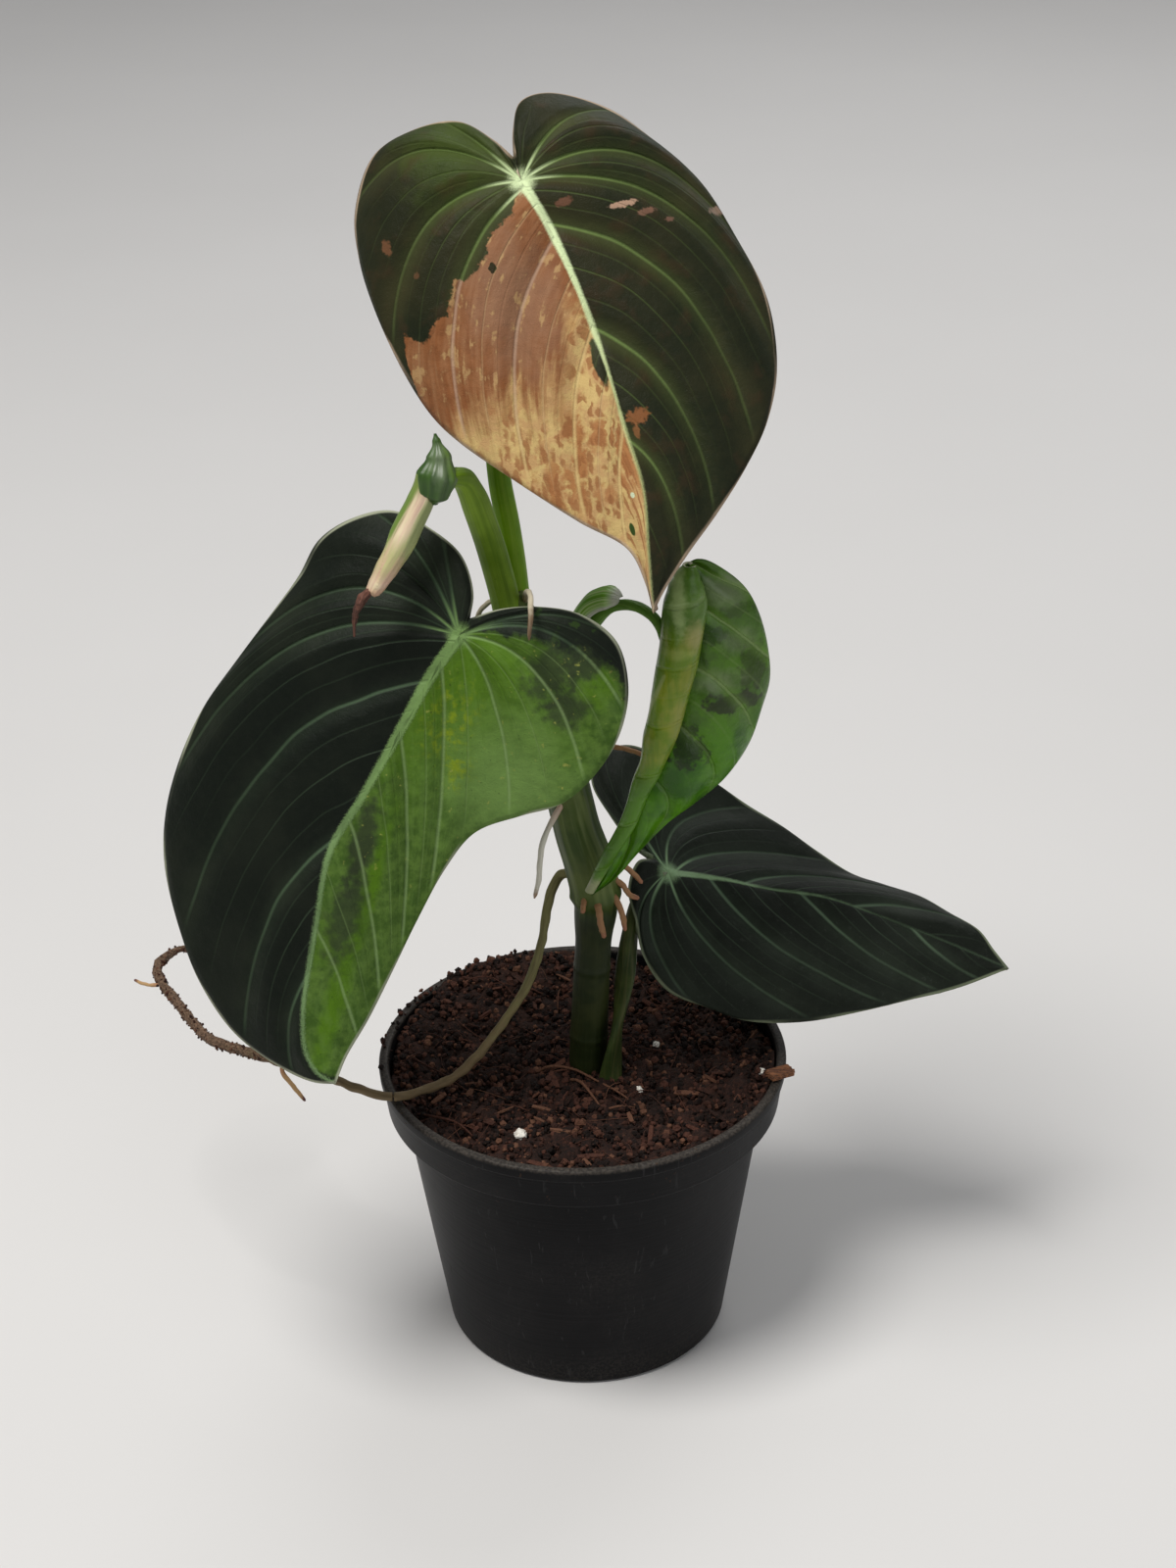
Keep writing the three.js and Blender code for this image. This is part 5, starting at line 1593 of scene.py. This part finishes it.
def soil_bed():
    """The body of the soil, down to the floor of the pot"""
    wall = SOIL["wall"]
    rows = SOIL["rows"] + len(wall)
    bed, out, around = grid("soil_bed", rows, SOIL["around"])
    row = np.round(out * rows).astype(int)
    x, y = np.cos(around * TURN), np.sin(around * TURN)
    top = row <= SOIL["rows"]
    radius = SOIL["edge"] * np.minimum(row / SOIL["rows"], 1)
    flat = np.stack([x * radius, y * radius, 0 * radius], axis=1)
    height = heap_at(flat[:, 0], flat[:, 1])
    rough = ripple(flat, 9, 3) * 0.6 + ripple(flat, 3.5, 4) * 0.45 + ripple(flat, 1.6, 5) * 0.3
    height = height + SOIL["rough"] * rough
    for i, (r, z) in enumerate(wall):
        here = row == SOIL["rows"] + 1 + i
        radius = np.where(here, r, radius)
        height = np.where(here, z, height)
    centre = row == 0
    height[centre] = height[centre].mean()
    move_points(bed, np.stack([x * radius, y * radius, height], axis=1))
    mark(bed, "tint", np.where(top, 0.45, 0.0))
    weld(bed, 0.002)
    return bed


def scatter(draw, reach):
    """A random angle and radius, spread evenly over a disc"""
    return draw.uniform(0, TURN), reach * math.sqrt(draw.random())


def soil_crumbs(draw):
    """Crumbs of every size on the bed, and some on the rim"""
    count = settings("soil").crumbs
    spill_from, spill_to = SOIL["spill"]
    rim_from, rim_inside, rim_outside, rim_top = SOIL["rim"]
    places, tints = [], []
    while len(places) < count:
        angle, radius = scatter(draw, SOIL["crumb_reach"])
        size = 1.0 + 2.3 * draw.random() ** 1.8
        over = math.sin(min(max((angle - spill_from) / (spill_to - spill_from), 0), 1) * math.pi)
        if draw.random() < 0.14 * over:
            radius = draw.uniform(rim_from, rim_outside)
        x, y = math.cos(angle) * radius, math.sin(angle) * radius
        on_soil = radius < rim_inside
        z = float(heap_at(x, y)) + draw.uniform(-0.2, 0.8) if on_soil else rim_top + 0.35 * size
        sizes = (size, size * draw.uniform(0.6, 1), size * draw.uniform(0.5, 0.9))
        places.append(placed((x, y, z), sizes, draw))
        tints.append(draw.random() ** 0.9)
    return copies("soil_crumbs", crumb_model(SEEDS["crumb"]), places, tints)


def soil_slivers(draw):
    places, tints = [], []
    for _ in range(settings("soil").chips):
        angle, radius = scatter(draw, SOIL["sliver_reach"])
        long = draw.uniform(2.2, 8)
        x, y = math.cos(angle) * radius, math.sin(angle) * radius
        size = (long, draw.uniform(0.7, 2.2), draw.uniform(0.4, 1.0))
        point = (x, y, float(heap_at(x, y)) + draw.uniform(0.3, 1.4))
        places.append(placed(point, size, draw, 0.5))
        tints.append(draw.uniform(0.35, 1))
    return copies("soil_slivers", sliver_model(SEEDS["sliver"]), places, tints)


def soil_fibres(draw):
    """Thin coir fibres that arch over the crumbs"""
    made = []
    for _ in range(settings("soil").fibres):
        angle, radius = scatter(draw, SOIL["fibre_reach"])
        heading, bend, long = draw.uniform(0, TURN), draw.uniform(-0.7, 0.7), draw.uniform(4, 18)
        start = np.array([math.cos(angle) * radius, math.sin(angle) * radius])
        rise = draw.uniform(0.8, 3.2)
        route = []
        for f in (-0.5, -0.2, 0.1, 0.5):
            towards = heading + bend * f
            x, y = start + long * f * np.array([math.cos(towards), math.sin(towards)])
            shrink = min(1, SOIL["sliver_reach"] / math.hypot(x, y))
            x, y = x * shrink, y * shrink
            route.append((x, y, float(heap_at(x, y)) + rise * (1 - 3.2 * f * f)))
        thick = draw.uniform(0.10, 0.24)
        spec = {"route": route, "radii": [(0, thick), (1, 0.6 * thick)], "wide": (0.1, 0.2, 1)}
        fibre = tube("fibre", spec, rows=9, sides=4)
        mark(fibre, "tint", np.full(len(fibre.data.vertices), draw.uniform(0.55, 1.0)))
        made.append(fibre)
    for number, (route, thick) in enumerate(SURFACE_ROOTS):
        spec = {"route": route, "radii": [(0, thick), (1, 0.6 * thick)]}
        root = tube("surface_root", spec, rows=40, sides=8)
        mark(root, "tint", np.full(len(root.data.vertices), 1.2 - 0.1 * number))
        made.append(root)
    return join("soil_fibres", *made)


def soil_finish(name, lighter=0.0):
    """Damp peat and reddish coir"""
    tones = settings("soil")
    dark, husk = tuple(tones.dark), tuple(tones.husk)
    f = Finish(name)
    tint = f.mark("tint")
    grit = f.noise(0.9, 5.0, 0.7)
    patch = f.noise(0.09, 3.0)
    red = (tint + (grit - 0.5) * 0.6 + (patch - 0.5) * 0.5 + lighter).rise(0.25, 1.05)
    body = f.mix(red, dark, husk)
    body = f.mix((tint + lighter).rise(0.85, 1.0) * 0.5, body, (0.17, 0.085, 0.048))
    fleck = f.noise(2.6, 2.0).rise(0.66, 0.72)
    body = f.mix(fleck * 0.4, body, (0.14, 0.06, 0.035))
    return f.surface(body, 0.78 + grit * 0.2, grit * 0.9, 0.9, 0.2)


# The pot

# The radius and height of each corner of the pot, up its outside and down its inside
POT_OUTSIDE = [(34, 0), (41, 0), (42, 1), (53, 74.6), (53.8, 75.6), (57.2, 76), (58, 76.8), (59.2, 86)]
POT_RIM = [(59.8, 86.5), (60, 89.3), (59.4, 90), (57.6, 90), (57, 89.3)]
POT_INSIDE = [(56.9, 79), (56.1, 78), (52.4, 77), (51.5, 75.6), (40.5, 3.6), (39.9, 3)]
DRAIN = {"holes": 8, "radius": 3.5, "circle": 24, "depth": 12, "sides": 32}


def softened(profile, reach=0.35, steps=3):
    """A profile with each corner rounded off"""
    points = [np.array(point, float) for point in profile]
    made = [points[0]]
    for before, corner, after in zip(points, points[1:], points[2:]):
        near = corner + (before - corner) * min(0.45, reach / np.linalg.norm(before - corner))
        far = corner + (after - corner) * min(0.45, reach / np.linalg.norm(after - corner))
        for i in range(steps + 1):
            t = i / steps
            made.append((1 - t) ** 2 * near + 2 * t * (1 - t) * corner + t * t * far)
    return [*made, points[-1]]


def turned(name, profile, sides):
    """A ring drawn out and resized step by step along a profile, and closed at both ends"""
    first, *_ = profile
    piece = added(name, bpy.ops.mesh.primitive_circle_add, vertices=sides, radius=first[0] * MM)
    with editing(piece):
        bpy.ops.transform.translate(value=(0, 0, first[1] * MM))
        bpy.ops.mesh.edge_face_add()
        for (r0, z0), (r1, z1) in zip(profile, profile[1:]):
            bpy.ops.mesh.extrude_region_move(TRANSFORM_OT_translate={"value": (0, 0, (z1 - z0) * MM)})
            bpy.ops.transform.resize(value=(r1 / r0, r1 / r0, 1), center_override=(0, 0, 0))
    return piece


def pot_piece():
    spec = settings("pot")
    boss = [(12, 0), (13.5, spec.floor / MM / 2), (32.5, spec.floor / MM / 2)]
    profile = [*boss, *POT_OUTSIDE, *POT_RIM, *POT_INSIDE, (20, 3)]
    piece = turned("pot_body", softened(profile), spec.sides)
    weld(piece, 0.001)
    cutters = []
    for i in range(DRAIN["holes"]):
        angle = (i + 0.5) / DRAIN["holes"] * TURN
        x, y = DRAIN["circle"] * math.cos(angle), DRAIN["circle"] * math.sin(angle)
        cutters.append(added(
            "drain", bpy.ops.mesh.primitive_cylinder_add, vertices=DRAIN["sides"],
            radius=DRAIN["radius"] * MM, depth=DRAIN["depth"] * MM, location=(x * MM, y * MM, 3 * MM),
        ))
    cutter = join("drain_cutter", *cutters)
    add_modifier(piece, "BOOLEAN", operation="DIFFERENCE", object=cutter, solver="EXACT")
    bpy.data.objects.remove(cutter, do_unlink=True)
    smooth(piece, 32)
    return piece


def pot_finish(name):
    """Satin black plastic with turning marks, scuffs, dust, dried splashes of soil and a painted
    highlight along the top of the rim
    """
    tones = settings("pot")
    f = Finish(name)
    x, y, z = f.parts(f.place)
    rings = f.noise(1.1, where=f.vector(x * 0.01, y * 0.01, z * 1.0))
    cloud = f.noise(0.035, 4.0)
    fine = f.noise(1.2, 4.0, 0.7)
    scratch = f.noise(0.5, 4.0, 0.7, 0.6, f.stretch(f.place, 1.0, 1.0, 0.12)).rise(0.62, 0.68)
    splash = f.noise(0.55, 3.0, 0.6).rise(0.66, 0.73) * z.rise(60, 90)
    low = z.rise(16, 0) * fine.rise(0.35, 0.75)
    dust = cloud.rise(0.42, 0.75) * fine.rise(0.3, 0.8) * 0.06 + low * 0.10
    # Painted highlight: a pale line along the top of the rim, broken up by noise and laid in the dust
    # tone
    edge = z.rise(88.8, 89.8) * 0.10 + z.rise(88.6, 89.8) * fine.rise(0.42, 0.6) * 0.15
    body = f.mix(cloud.rise(0.3, 0.7), tuple(tones.plastic), shade(tones.plastic, 1.5))
    body = f.mix(dust + edge, body, tuple(tones.dust))
    body = f.mix(scratch * 0.12, body, (0.12, 0.12, 0.12))
    body = f.mix(splash * 0.75, body, (0.06, 0.034, 0.022))
    return f.surface(
        body, 0.36 + cloud * 0.10 + dust * 0.6 + scratch * 0.1 + splash * 0.3,
        rings * 0.10 + fine * 0.03 + splash * 0.25 - scratch * 0.04, 0.6, 0.07,
    )


# Grains and the bark chip


def grain_piece(node, seed):
    """A porous grain of perlite, as large as its node"""
    low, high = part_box(node)
    sphere = bpy.ops.mesh.primitive_ico_sphere_add
    piece = added(node + "_grain", sphere, subdivisions=5, radius=0.5 * MM)
    points = points_of(piece)
    lumps = 1 + 0.10 * ripple(points, 0.42, seed) + 0.05 * ripple(points, 0.15, seed + 1)
    size = np.array(high - low) / MM
    move_points(piece, points * lumps[:, None] * size + np.array(high + low) / 2 / MM)
    smooth(piece)
    return piece


def grain_finish(name):
    f = Finish(name)
    pores = f.cells(f.place, 2.6).rise(0.10, 0.32)
    stain = f.noise(0.7, 3.0).rise(0.45, 0.75)
    body = f.mix(stain * 0.5, (0.78, 0.75, 0.68), (0.40, 0.31, 0.22))
    body = f.mix(pores, f.mix(0.5, body, (0.25, 0.2, 0.15)), body)
    return f.surface(body, 0.85 + stain * 0.1, pores * 0.3 + f.noise(3.0) * 0.15, 0.9)


BARK = {"size": (7.6, 4.2, 1.9), "turn": 0.5, "tilt": 0.06}


def bark_piece():
    """A flake of bark on the rim: a box split along its grain"""
    low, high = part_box("bark_chip")
    piece = added("bark_chip_flake", bpy.ops.mesh.primitive_cube_add, size=1)
    with editing(piece):
        bpy.ops.mesh.subdivide(number_cuts=14)
    points = points_of(piece) * MM
    layers = ripple(points * (0.15, 1, 1), 0.22, SEEDS["bark"])[:, None]
    shape = points * (1 - 0.16 * np.abs(points[:, ::-1]) ** 2) + unit(points) * 0.035 * layers
    leaned = np.array(Matrix.Rotation(BARK["turn"], 3, "Z") @ Matrix.Rotation(BARK["tilt"], 3, "Y"))
    move_points(piece, shape * BARK["size"] @ leaned.T + np.array(low + high) / 2 / MM)
    smooth(piece, 40)
    return piece


def bark_finish(name):
    f = Finish(name)
    lie = {"Vector": f.place, "Rotation": (0, 0, -BARK["turn"]), "Scale": (0.12, 1.0, 1.6)}
    grain = f.noise(1.6, 5.0, 0.7, where=f.node("Mapping", None, lie))
    body = f.mix(grain.rise(0.35, 0.7), (0.075, 0.026, 0.011), (0.26, 0.100, 0.036))
    body = f.mix(f.noise(0.9, 3.0).rise(0.55, 0.7) * 0.6, body, (0.05, 0.022, 0.012))
    return f.surface(body, 0.75 + grain * 0.15, grain * 0.8)


def ring_point(line, share, angle, reach):
    """A point beside a line, at an angle round it"""
    centre = line(share)
    tangent = tangent_of(line, share)
    across = unit(np.cross(tangent, (0, 0, 1)))
    return centre + reach * (across * math.cos(angle) + np.cross(tangent, across) * math.sin(angle))


def clinging_crumbs(draw, count=520):
    """Crumbs of soil stuck to the outer part of the long root"""
    line = smooth_line(AERIAL_ROOT["route"])
    places, tints = [], []
    for _ in range(count):
        share = draw.uniform(CRUSTED_FROM, 0.99)
        if draw.random() > 0.25 + 0.75 * float(ease(share, CRUSTED_FROM, 0.72)):
            continue
        size = 0.35 + 1.0 * draw.random() ** 2
        reach = float(along(AERIAL_ROOT["radii"], share)) + 0.15 * size
        point = ring_point(line, share, draw.uniform(0, TURN), reach)
        places.append(placed(point, (size, size * draw.uniform(0.6, 1), size * 0.7), draw))
        tints.append(0.3 + 0.7 * draw.random())
    return copies("clinging_crumbs", crumb_model(SEEDS["clinging_crumb"]), places, tints)


# The stage

CAMERA = {"place": (3, -723, 574), "down": 28.6, "roll": -1.0, "lens": 67.5}
# The place of each light in metres, its width, its power in watts and its tone
LIGHTS = {
    "key": ((-0.50, -0.42, 1.75), 0.75, 30, (1.0, 0.985, 0.96)),
    "fill": ((1.3, -1.1, 0.8), 1.4, 6, (0.96, 0.98, 1.0)),
    "back": ((0.5, 1.2, 1.3), 1.2, 8, (1.0, 1.0, 1.0)),
}
LIGHT_AIM = (0, 0, 0.18)


def stage_floor():
    floor = added("floor", bpy.ops.mesh.primitive_plane_add, size=8)
    f = Finish("floor_paper")
    cloud = f.noise(0.004)
    dress(floor, f.surface(f.mix(cloud, (0.62, 0.61, 0.60), (0.66, 0.65, 0.64)), 0.9 + cloud * 0.05))
    return floor


def stage_lights():
    for name, (place, size, watts, tone) in LIGHTS.items():
        light = added(name + "_light", bpy.ops.object.light_add, type="AREA", location=place)
        facts = {"shape": "DISK", "size": size, "energy": watts, "color": tone}
        for fact, value in facts.items():
            setattr(light.data, fact, value)
        aim = Vector(LIGHT_AIM) - Vector(place)
        light.rotation_euler = aim.to_track_quat("-Z", "Y").to_euler()
    world = bpy.data.worlds.new("studio")
    world.use_nodes = True
    background = world.node_tree.nodes["Background"]
    background.inputs["Color"].default_value = (0.80, 0.81, 0.83, 1)
    background.inputs["Strength"].default_value = 0.26
    bpy.context.scene.world = world


def stage_camera():
    """The camera where the photograph was taken from"""
    down, roll = (math.radians(CAMERA[angle]) for angle in ("down", "roll"))
    ahead = Vector((0, math.cos(down), -math.sin(down)))
    level = Vector((1, 0, 0))
    upright = level.cross(ahead)
    right = level * math.cos(roll) + upright * math.sin(roll)
    up = upright * math.cos(roll) - level * math.sin(roll)
    camera = added("camera", bpy.ops.object.camera_add)
    turn = Matrix((right, up, -ahead)).transposed().to_4x4()
    camera.matrix_world = Matrix.Translation(Vector(CAMERA["place"]) * MM) @ turn
    camera.data.lens = CAMERA["lens"]
    bpy.context.scene.camera = camera


# Operators


class AddStage(bpy.types.Operator):
    """Adds a pale floor, soft light and the camera"""

    bl_idname = "plant.add_stage"
    bl_label = "Stage"

    def execute(self, context):
        stage_floor()
        stage_lights()
        stage_camera()
        context.scene.view_settings.view_transform = "Standard"
        return {"FINISHED"}


class AddPot(bpy.types.Operator):
    """Adds the nursery pot"""

    bl_idname = "plant.add_pot"
    bl_label = "Pot"

    def execute(self, context):
        hand_over(pot_piece(), "pot_plastic", "pot", pot_finish("pot_plastic"))
        return {"FINISHED"}


class AddSoil(bpy.types.Operator):
    """Adds the soil with its crumbs, slivers and fibres"""

    bl_idname = "plant.add_soil"
    bl_label = "Soil"

    def execute(self, context):
        draw = random.Random(SEEDS["soil"])
        bed = soil_bed()
        smooth(bed)
        parts = [bed, soil_crumbs(draw), soil_slivers(draw), soil_fibres(draw)]
        finish = soil_finish("potting_mix")
        for part in parts:
            dress(part, finish)
        hand_over(join("soil_mix", *parts), "soil_mix", "soil")
        return {"FINISHED"}


class AddGrains(bpy.types.Operator):
    """Adds the grains of perlite"""

    bl_idname = "plant.add_grains"
    bl_label = "Perlite"

    def execute(self, context):
        finish = grain_finish("perlite")
        for i in range(1, 5):
            node = f"perlite_{i}"
            hand_over(grain_piece(node, SEEDS["grain"] + i), "perlite", node, finish)
        return {"FINISHED"}


class AddBark(bpy.types.Operator):
    """Adds the flake of bark on the rim"""

    bl_idname = "plant.add_bark"
    bl_label = "Bark chip"

    def execute(self, context):
        hand_over(bark_piece(), "bark", "bark_chip", bark_finish("bark"))
        return {"FINISHED"}


class AddStem(bpy.types.Operator):
    """Adds the stem"""

    bl_idname = "plant.add_stem"
    bl_label = "Stem"

    def execute(self, context):
        tone = tuple(settings("stem").stem)
        stem = tube("stem_tube", STEM, rows=420, sides=72, surface=stem_surface)
        finish = stem_finish("stem", tone, (0.085, 0.115, 0.026), (0.17, 0.21, 0.075), NODE_SHARE)
        hand_over(stem, "stem_green", "stem", finish)
        return {"FINISHED"}


class AddPetioles(bpy.types.Operator):
    """Adds the petioles of the open leaves and of the new leaf"""

    bl_idname = "plant.add_petioles"
    bl_label = "Petioles"

    def execute(self, context):
        tone = tuple(settings("stem").petiole)
        tones = {
            "petiole_top": ((0.10, 0.23, 0.003), (0.17, 0.32, 0.008), (0.24, 0.37, 0.03)),
            "petiole_new": ((0.13, 0.23, 0.010), (0.20, 0.32, 0.025), (0.060, 0.130, 0.003)),
            "petiole_front": (tone, (0.15, 0.21, 0.045), (0.20, 0.27, 0.08)),
            "petiole_back": ((0.020, 0.036, 0.008), (0.055, 0.075, 0.016), (0.09, 0.085, 0.03)),
        }
        for node, spec in PETIOLES.items():
            shape = strap(start=0.2, end=0.7) if node == "petiole_back" else ribs(count=7, depth=0.10)
            petiole = tube(node + "_tube", spec, rows=260, sides=36, surface=shape)
            hand_over(petiole, "petiole_green", node, stem_finish(node, *tones[node]))
        return {"FINISHED"}


class AddYoungPetiole(bpy.types.Operator):
    """Adds the petiole of the young leaf with its sheath"""

    bl_idname = "plant.add_young_petiole"
    bl_label = "Young petiole"

    def execute(self, context):
        shape = ribs(count=5, depth=0.06)
        petiole = tube("petiole_young_tube", PETIOLE_YOUNG, rows=200, sides=32, surface=shape)
        tones = ((0.07, 0.17, 0.014), (0.12, 0.25, 0.03), (0.20, 0.34, 0.07))
        dress(petiole, stem_finish("petiole_young", *tones))
        sheath = sheath_piece()
        dress(sheath, sheath_finish("petiole_sheath"))
        hand_over(join("petiole_young_piece", petiole, sheath), "petiole_green", "petiole_young")
        return {"FINISHED"}


class AddVelvetLeaves(bpy.types.Operator):
    """Adds the three open leaves"""

    bl_idname = "plant.add_velvet_leaves"
    bl_label = "Velvet leaves"

    def execute(self, context):
        for leaf, sector, look in (
            (LEAF_TOP, top_sector, TOP_LOOK),
            (LEAF_FRONT, front_sector, FRONT_LOOK),
            (LEAF_BACK, no_sector, BACK_LOOK),
        ):
            node = leaf["node"]
            piece = velvet_blade(
                leaf,
                velvet_finish(node + "_velvet", sector, look),
                under_finish(node + "_underside", sector),
                margin_finish(node + "_margin", look["margin"]),
            )
            hand_over(piece, "leaf_velvet", node)
        return {"FINISHED"}


class AddYoungLeaf(bpy.types.Operator):
    """Adds the young leaf, still half rolled"""

    bl_idname = "plant.add_young_leaf"
    bl_label = "Young leaf"

    def execute(self, context):
        piece = young_blade(
            young_finish("leaf_young_inside"),
            young_finish("leaf_young_outside", outside=True),
            margin_finish("leaf_young_margin", (0.42, 0.42, 0.26)),
        )
        hand_over(piece, "leaf_young", "leaf_young")
        return {"FINISHED"}


class AddNewLeaf(bpy.types.Operator):
    """Adds the new leaf, a tight roll that hangs from its two lobes"""

    bl_idname = "plant.add_new_leaf"
    bl_label = "New leaf"

    def execute(self, context):
        roll = tube("leaf_new_roll", LEAF_NEW["roll"], rows=150, sides=64, surface=roll_surface)
        dress(roll, new_roll_finish("leaf_new_roll"))
        lobes = tube("leaf_new_lobes", LEAF_NEW["lobes"], rows=110, sides=64, surface=lobe_surface)
        dress(lobes, new_lobe_finish("leaf_new_lobes"))
        shape = knobbly(SEEDS["thread"], depth=0.2, size=14)
        thread = tube("leaf_new_thread", LEAF_NEW["thread"], rows=60, sides=18, surface=shape)
        dress(thread, dry_finish("leaf_new_thread", (0.14, 0.055, 0.035), (0.045, 0.020, 0.014)))
        hand_over(join("leaf_new_piece", roll, lobes, thread), "leaf_new", "leaf_new")
        return {"FINISHED"}


class AddAerialRoot(bpy.types.Operator):
    """Adds the long root that leans over the rim, with soil stuck to it"""

    bl_idname = "plant.add_aerial_root"
    bl_label = "Aerial root"

    def execute(self, context):
        shape = knobbly(SEEDS["long_root"], depth=0.11, size=90)
        parts = [tube("aerial_root_main", AERIAL_ROOT, rows=460, sides=26, surface=shape)]
        dress(parts[0], bark_root_finish("aerial_root"))
        tones = ((0.36, 0.17, 0.09), (0.44, 0.27, 0.12), (0.10, 0.030, 0.030))
        pink = root_finish("rootlet", *tones, 0.84)
        for i, rootlet in enumerate(ROOTLETS):
            shape = knobbly(SEEDS["rootlet"] + i, depth=0.1, size=10)
            part = tube("rootlet", root_spec(*rootlet), rows=60, sides=14, surface=shape)
            dress(part, pink)
            parts.append(part)
        crumbs = clinging_crumbs(random.Random(SEEDS["clinging_soil"]))
        dress(crumbs, soil_finish("clinging_soil", lighter=0.12))
        hand_over(join("aerial_root_piece", *parts, crumbs), "root_brown", "aerial_root")
        return {"FINISHED"}


class AddRoots(bpy.types.Operator):
    """Adds the short roots at the nodes of the stem"""

    bl_idname = "plant.add_roots"
    bl_label = "Small roots"

    def execute(self, context):
        young = tuple(settings("stem").root)
        brown, high, pale = (root_finish(*spec) for spec in (
            ("root_brown", (0.20, 0.11, 0.04), young, (0.30, 0.13, 0.07)),
            ("root_high", (0.26, 0.19, 0.10), (0.50, 0.44, 0.32), (0.17, 0.10, 0.05), 0.74),
            ("root_pale", (0.45, 0.27, 0.19), (0.62, 0.60, 0.50), (0.26, 0.13, 0.06), 0.86),
        ))
        finishes = {"root_white": pale, "root_high_1": high, "root_high_2": high}
        for i, (node, root) in enumerate(ROOTS.items()):
            shape = knobbly(SEEDS["root"] + i, depth=0.09, size=14)
            piece = tube(node + "_tube", root_spec(*root), rows=90, sides=24, surface=shape)
            slot = "root_pale" if node == "root_white" else "root_brown"
            hand_over(piece, slot, node, finishes.get(node, brown))
        return {"FINISHED"}


class PlantPanel(bpy.types.Panel):
    """Lists the plant's settings and pieces"""

    bl_idname = "VIEW3D_PT_plant"
    bl_label = "Black gold philodendron"
    bl_space_type = "VIEW_3D"
    bl_region_type = "UI"
    bl_category = "Plant"

    def draw(self, context):
        for key, group in GROUPS.items():
            box = self.layout.box()
            box.label(text=key.title())
            for name in group.__annotations__:
                box.prop(getattr(context.scene, "plant_" + key), name)
        for operator in OPERATORS:
            self.layout.operator(operator.bl_idname)


GROUPS = {"pot": PotSettings, "soil": SoilSettings, "leaf": LeafSettings, "stem": StemSettings}
OPERATORS = (
    AddStage, AddPot, AddSoil, AddGrains, AddBark, AddStem, AddPetioles, AddYoungPetiole,
    AddVelvetLeaves, AddYoungLeaf, AddNewLeaf, AddAerialRoot, AddRoots,
)
CLASSES = (*GROUPS.values(), *OPERATORS, PlantPanel)


def register():
    for made in CLASSES:
        bpy.utils.register_class(made)
    for key, group in GROUPS.items():
        setattr(bpy.types.Scene, "plant_" + key, bpy.props.PointerProperty(type=group))


def unregister():
    for key in GROUPS:
        delattr(bpy.types.Scene, "plant_" + key)
    for made in reversed(CLASSES):
        bpy.utils.unregister_class(made)


def main():
    register()
    for operator in OPERATORS:
        group, name = operator.bl_idname.split(".")
        getattr(getattr(bpy.ops, group), name)()


if __name__ == "__main__":
    main()
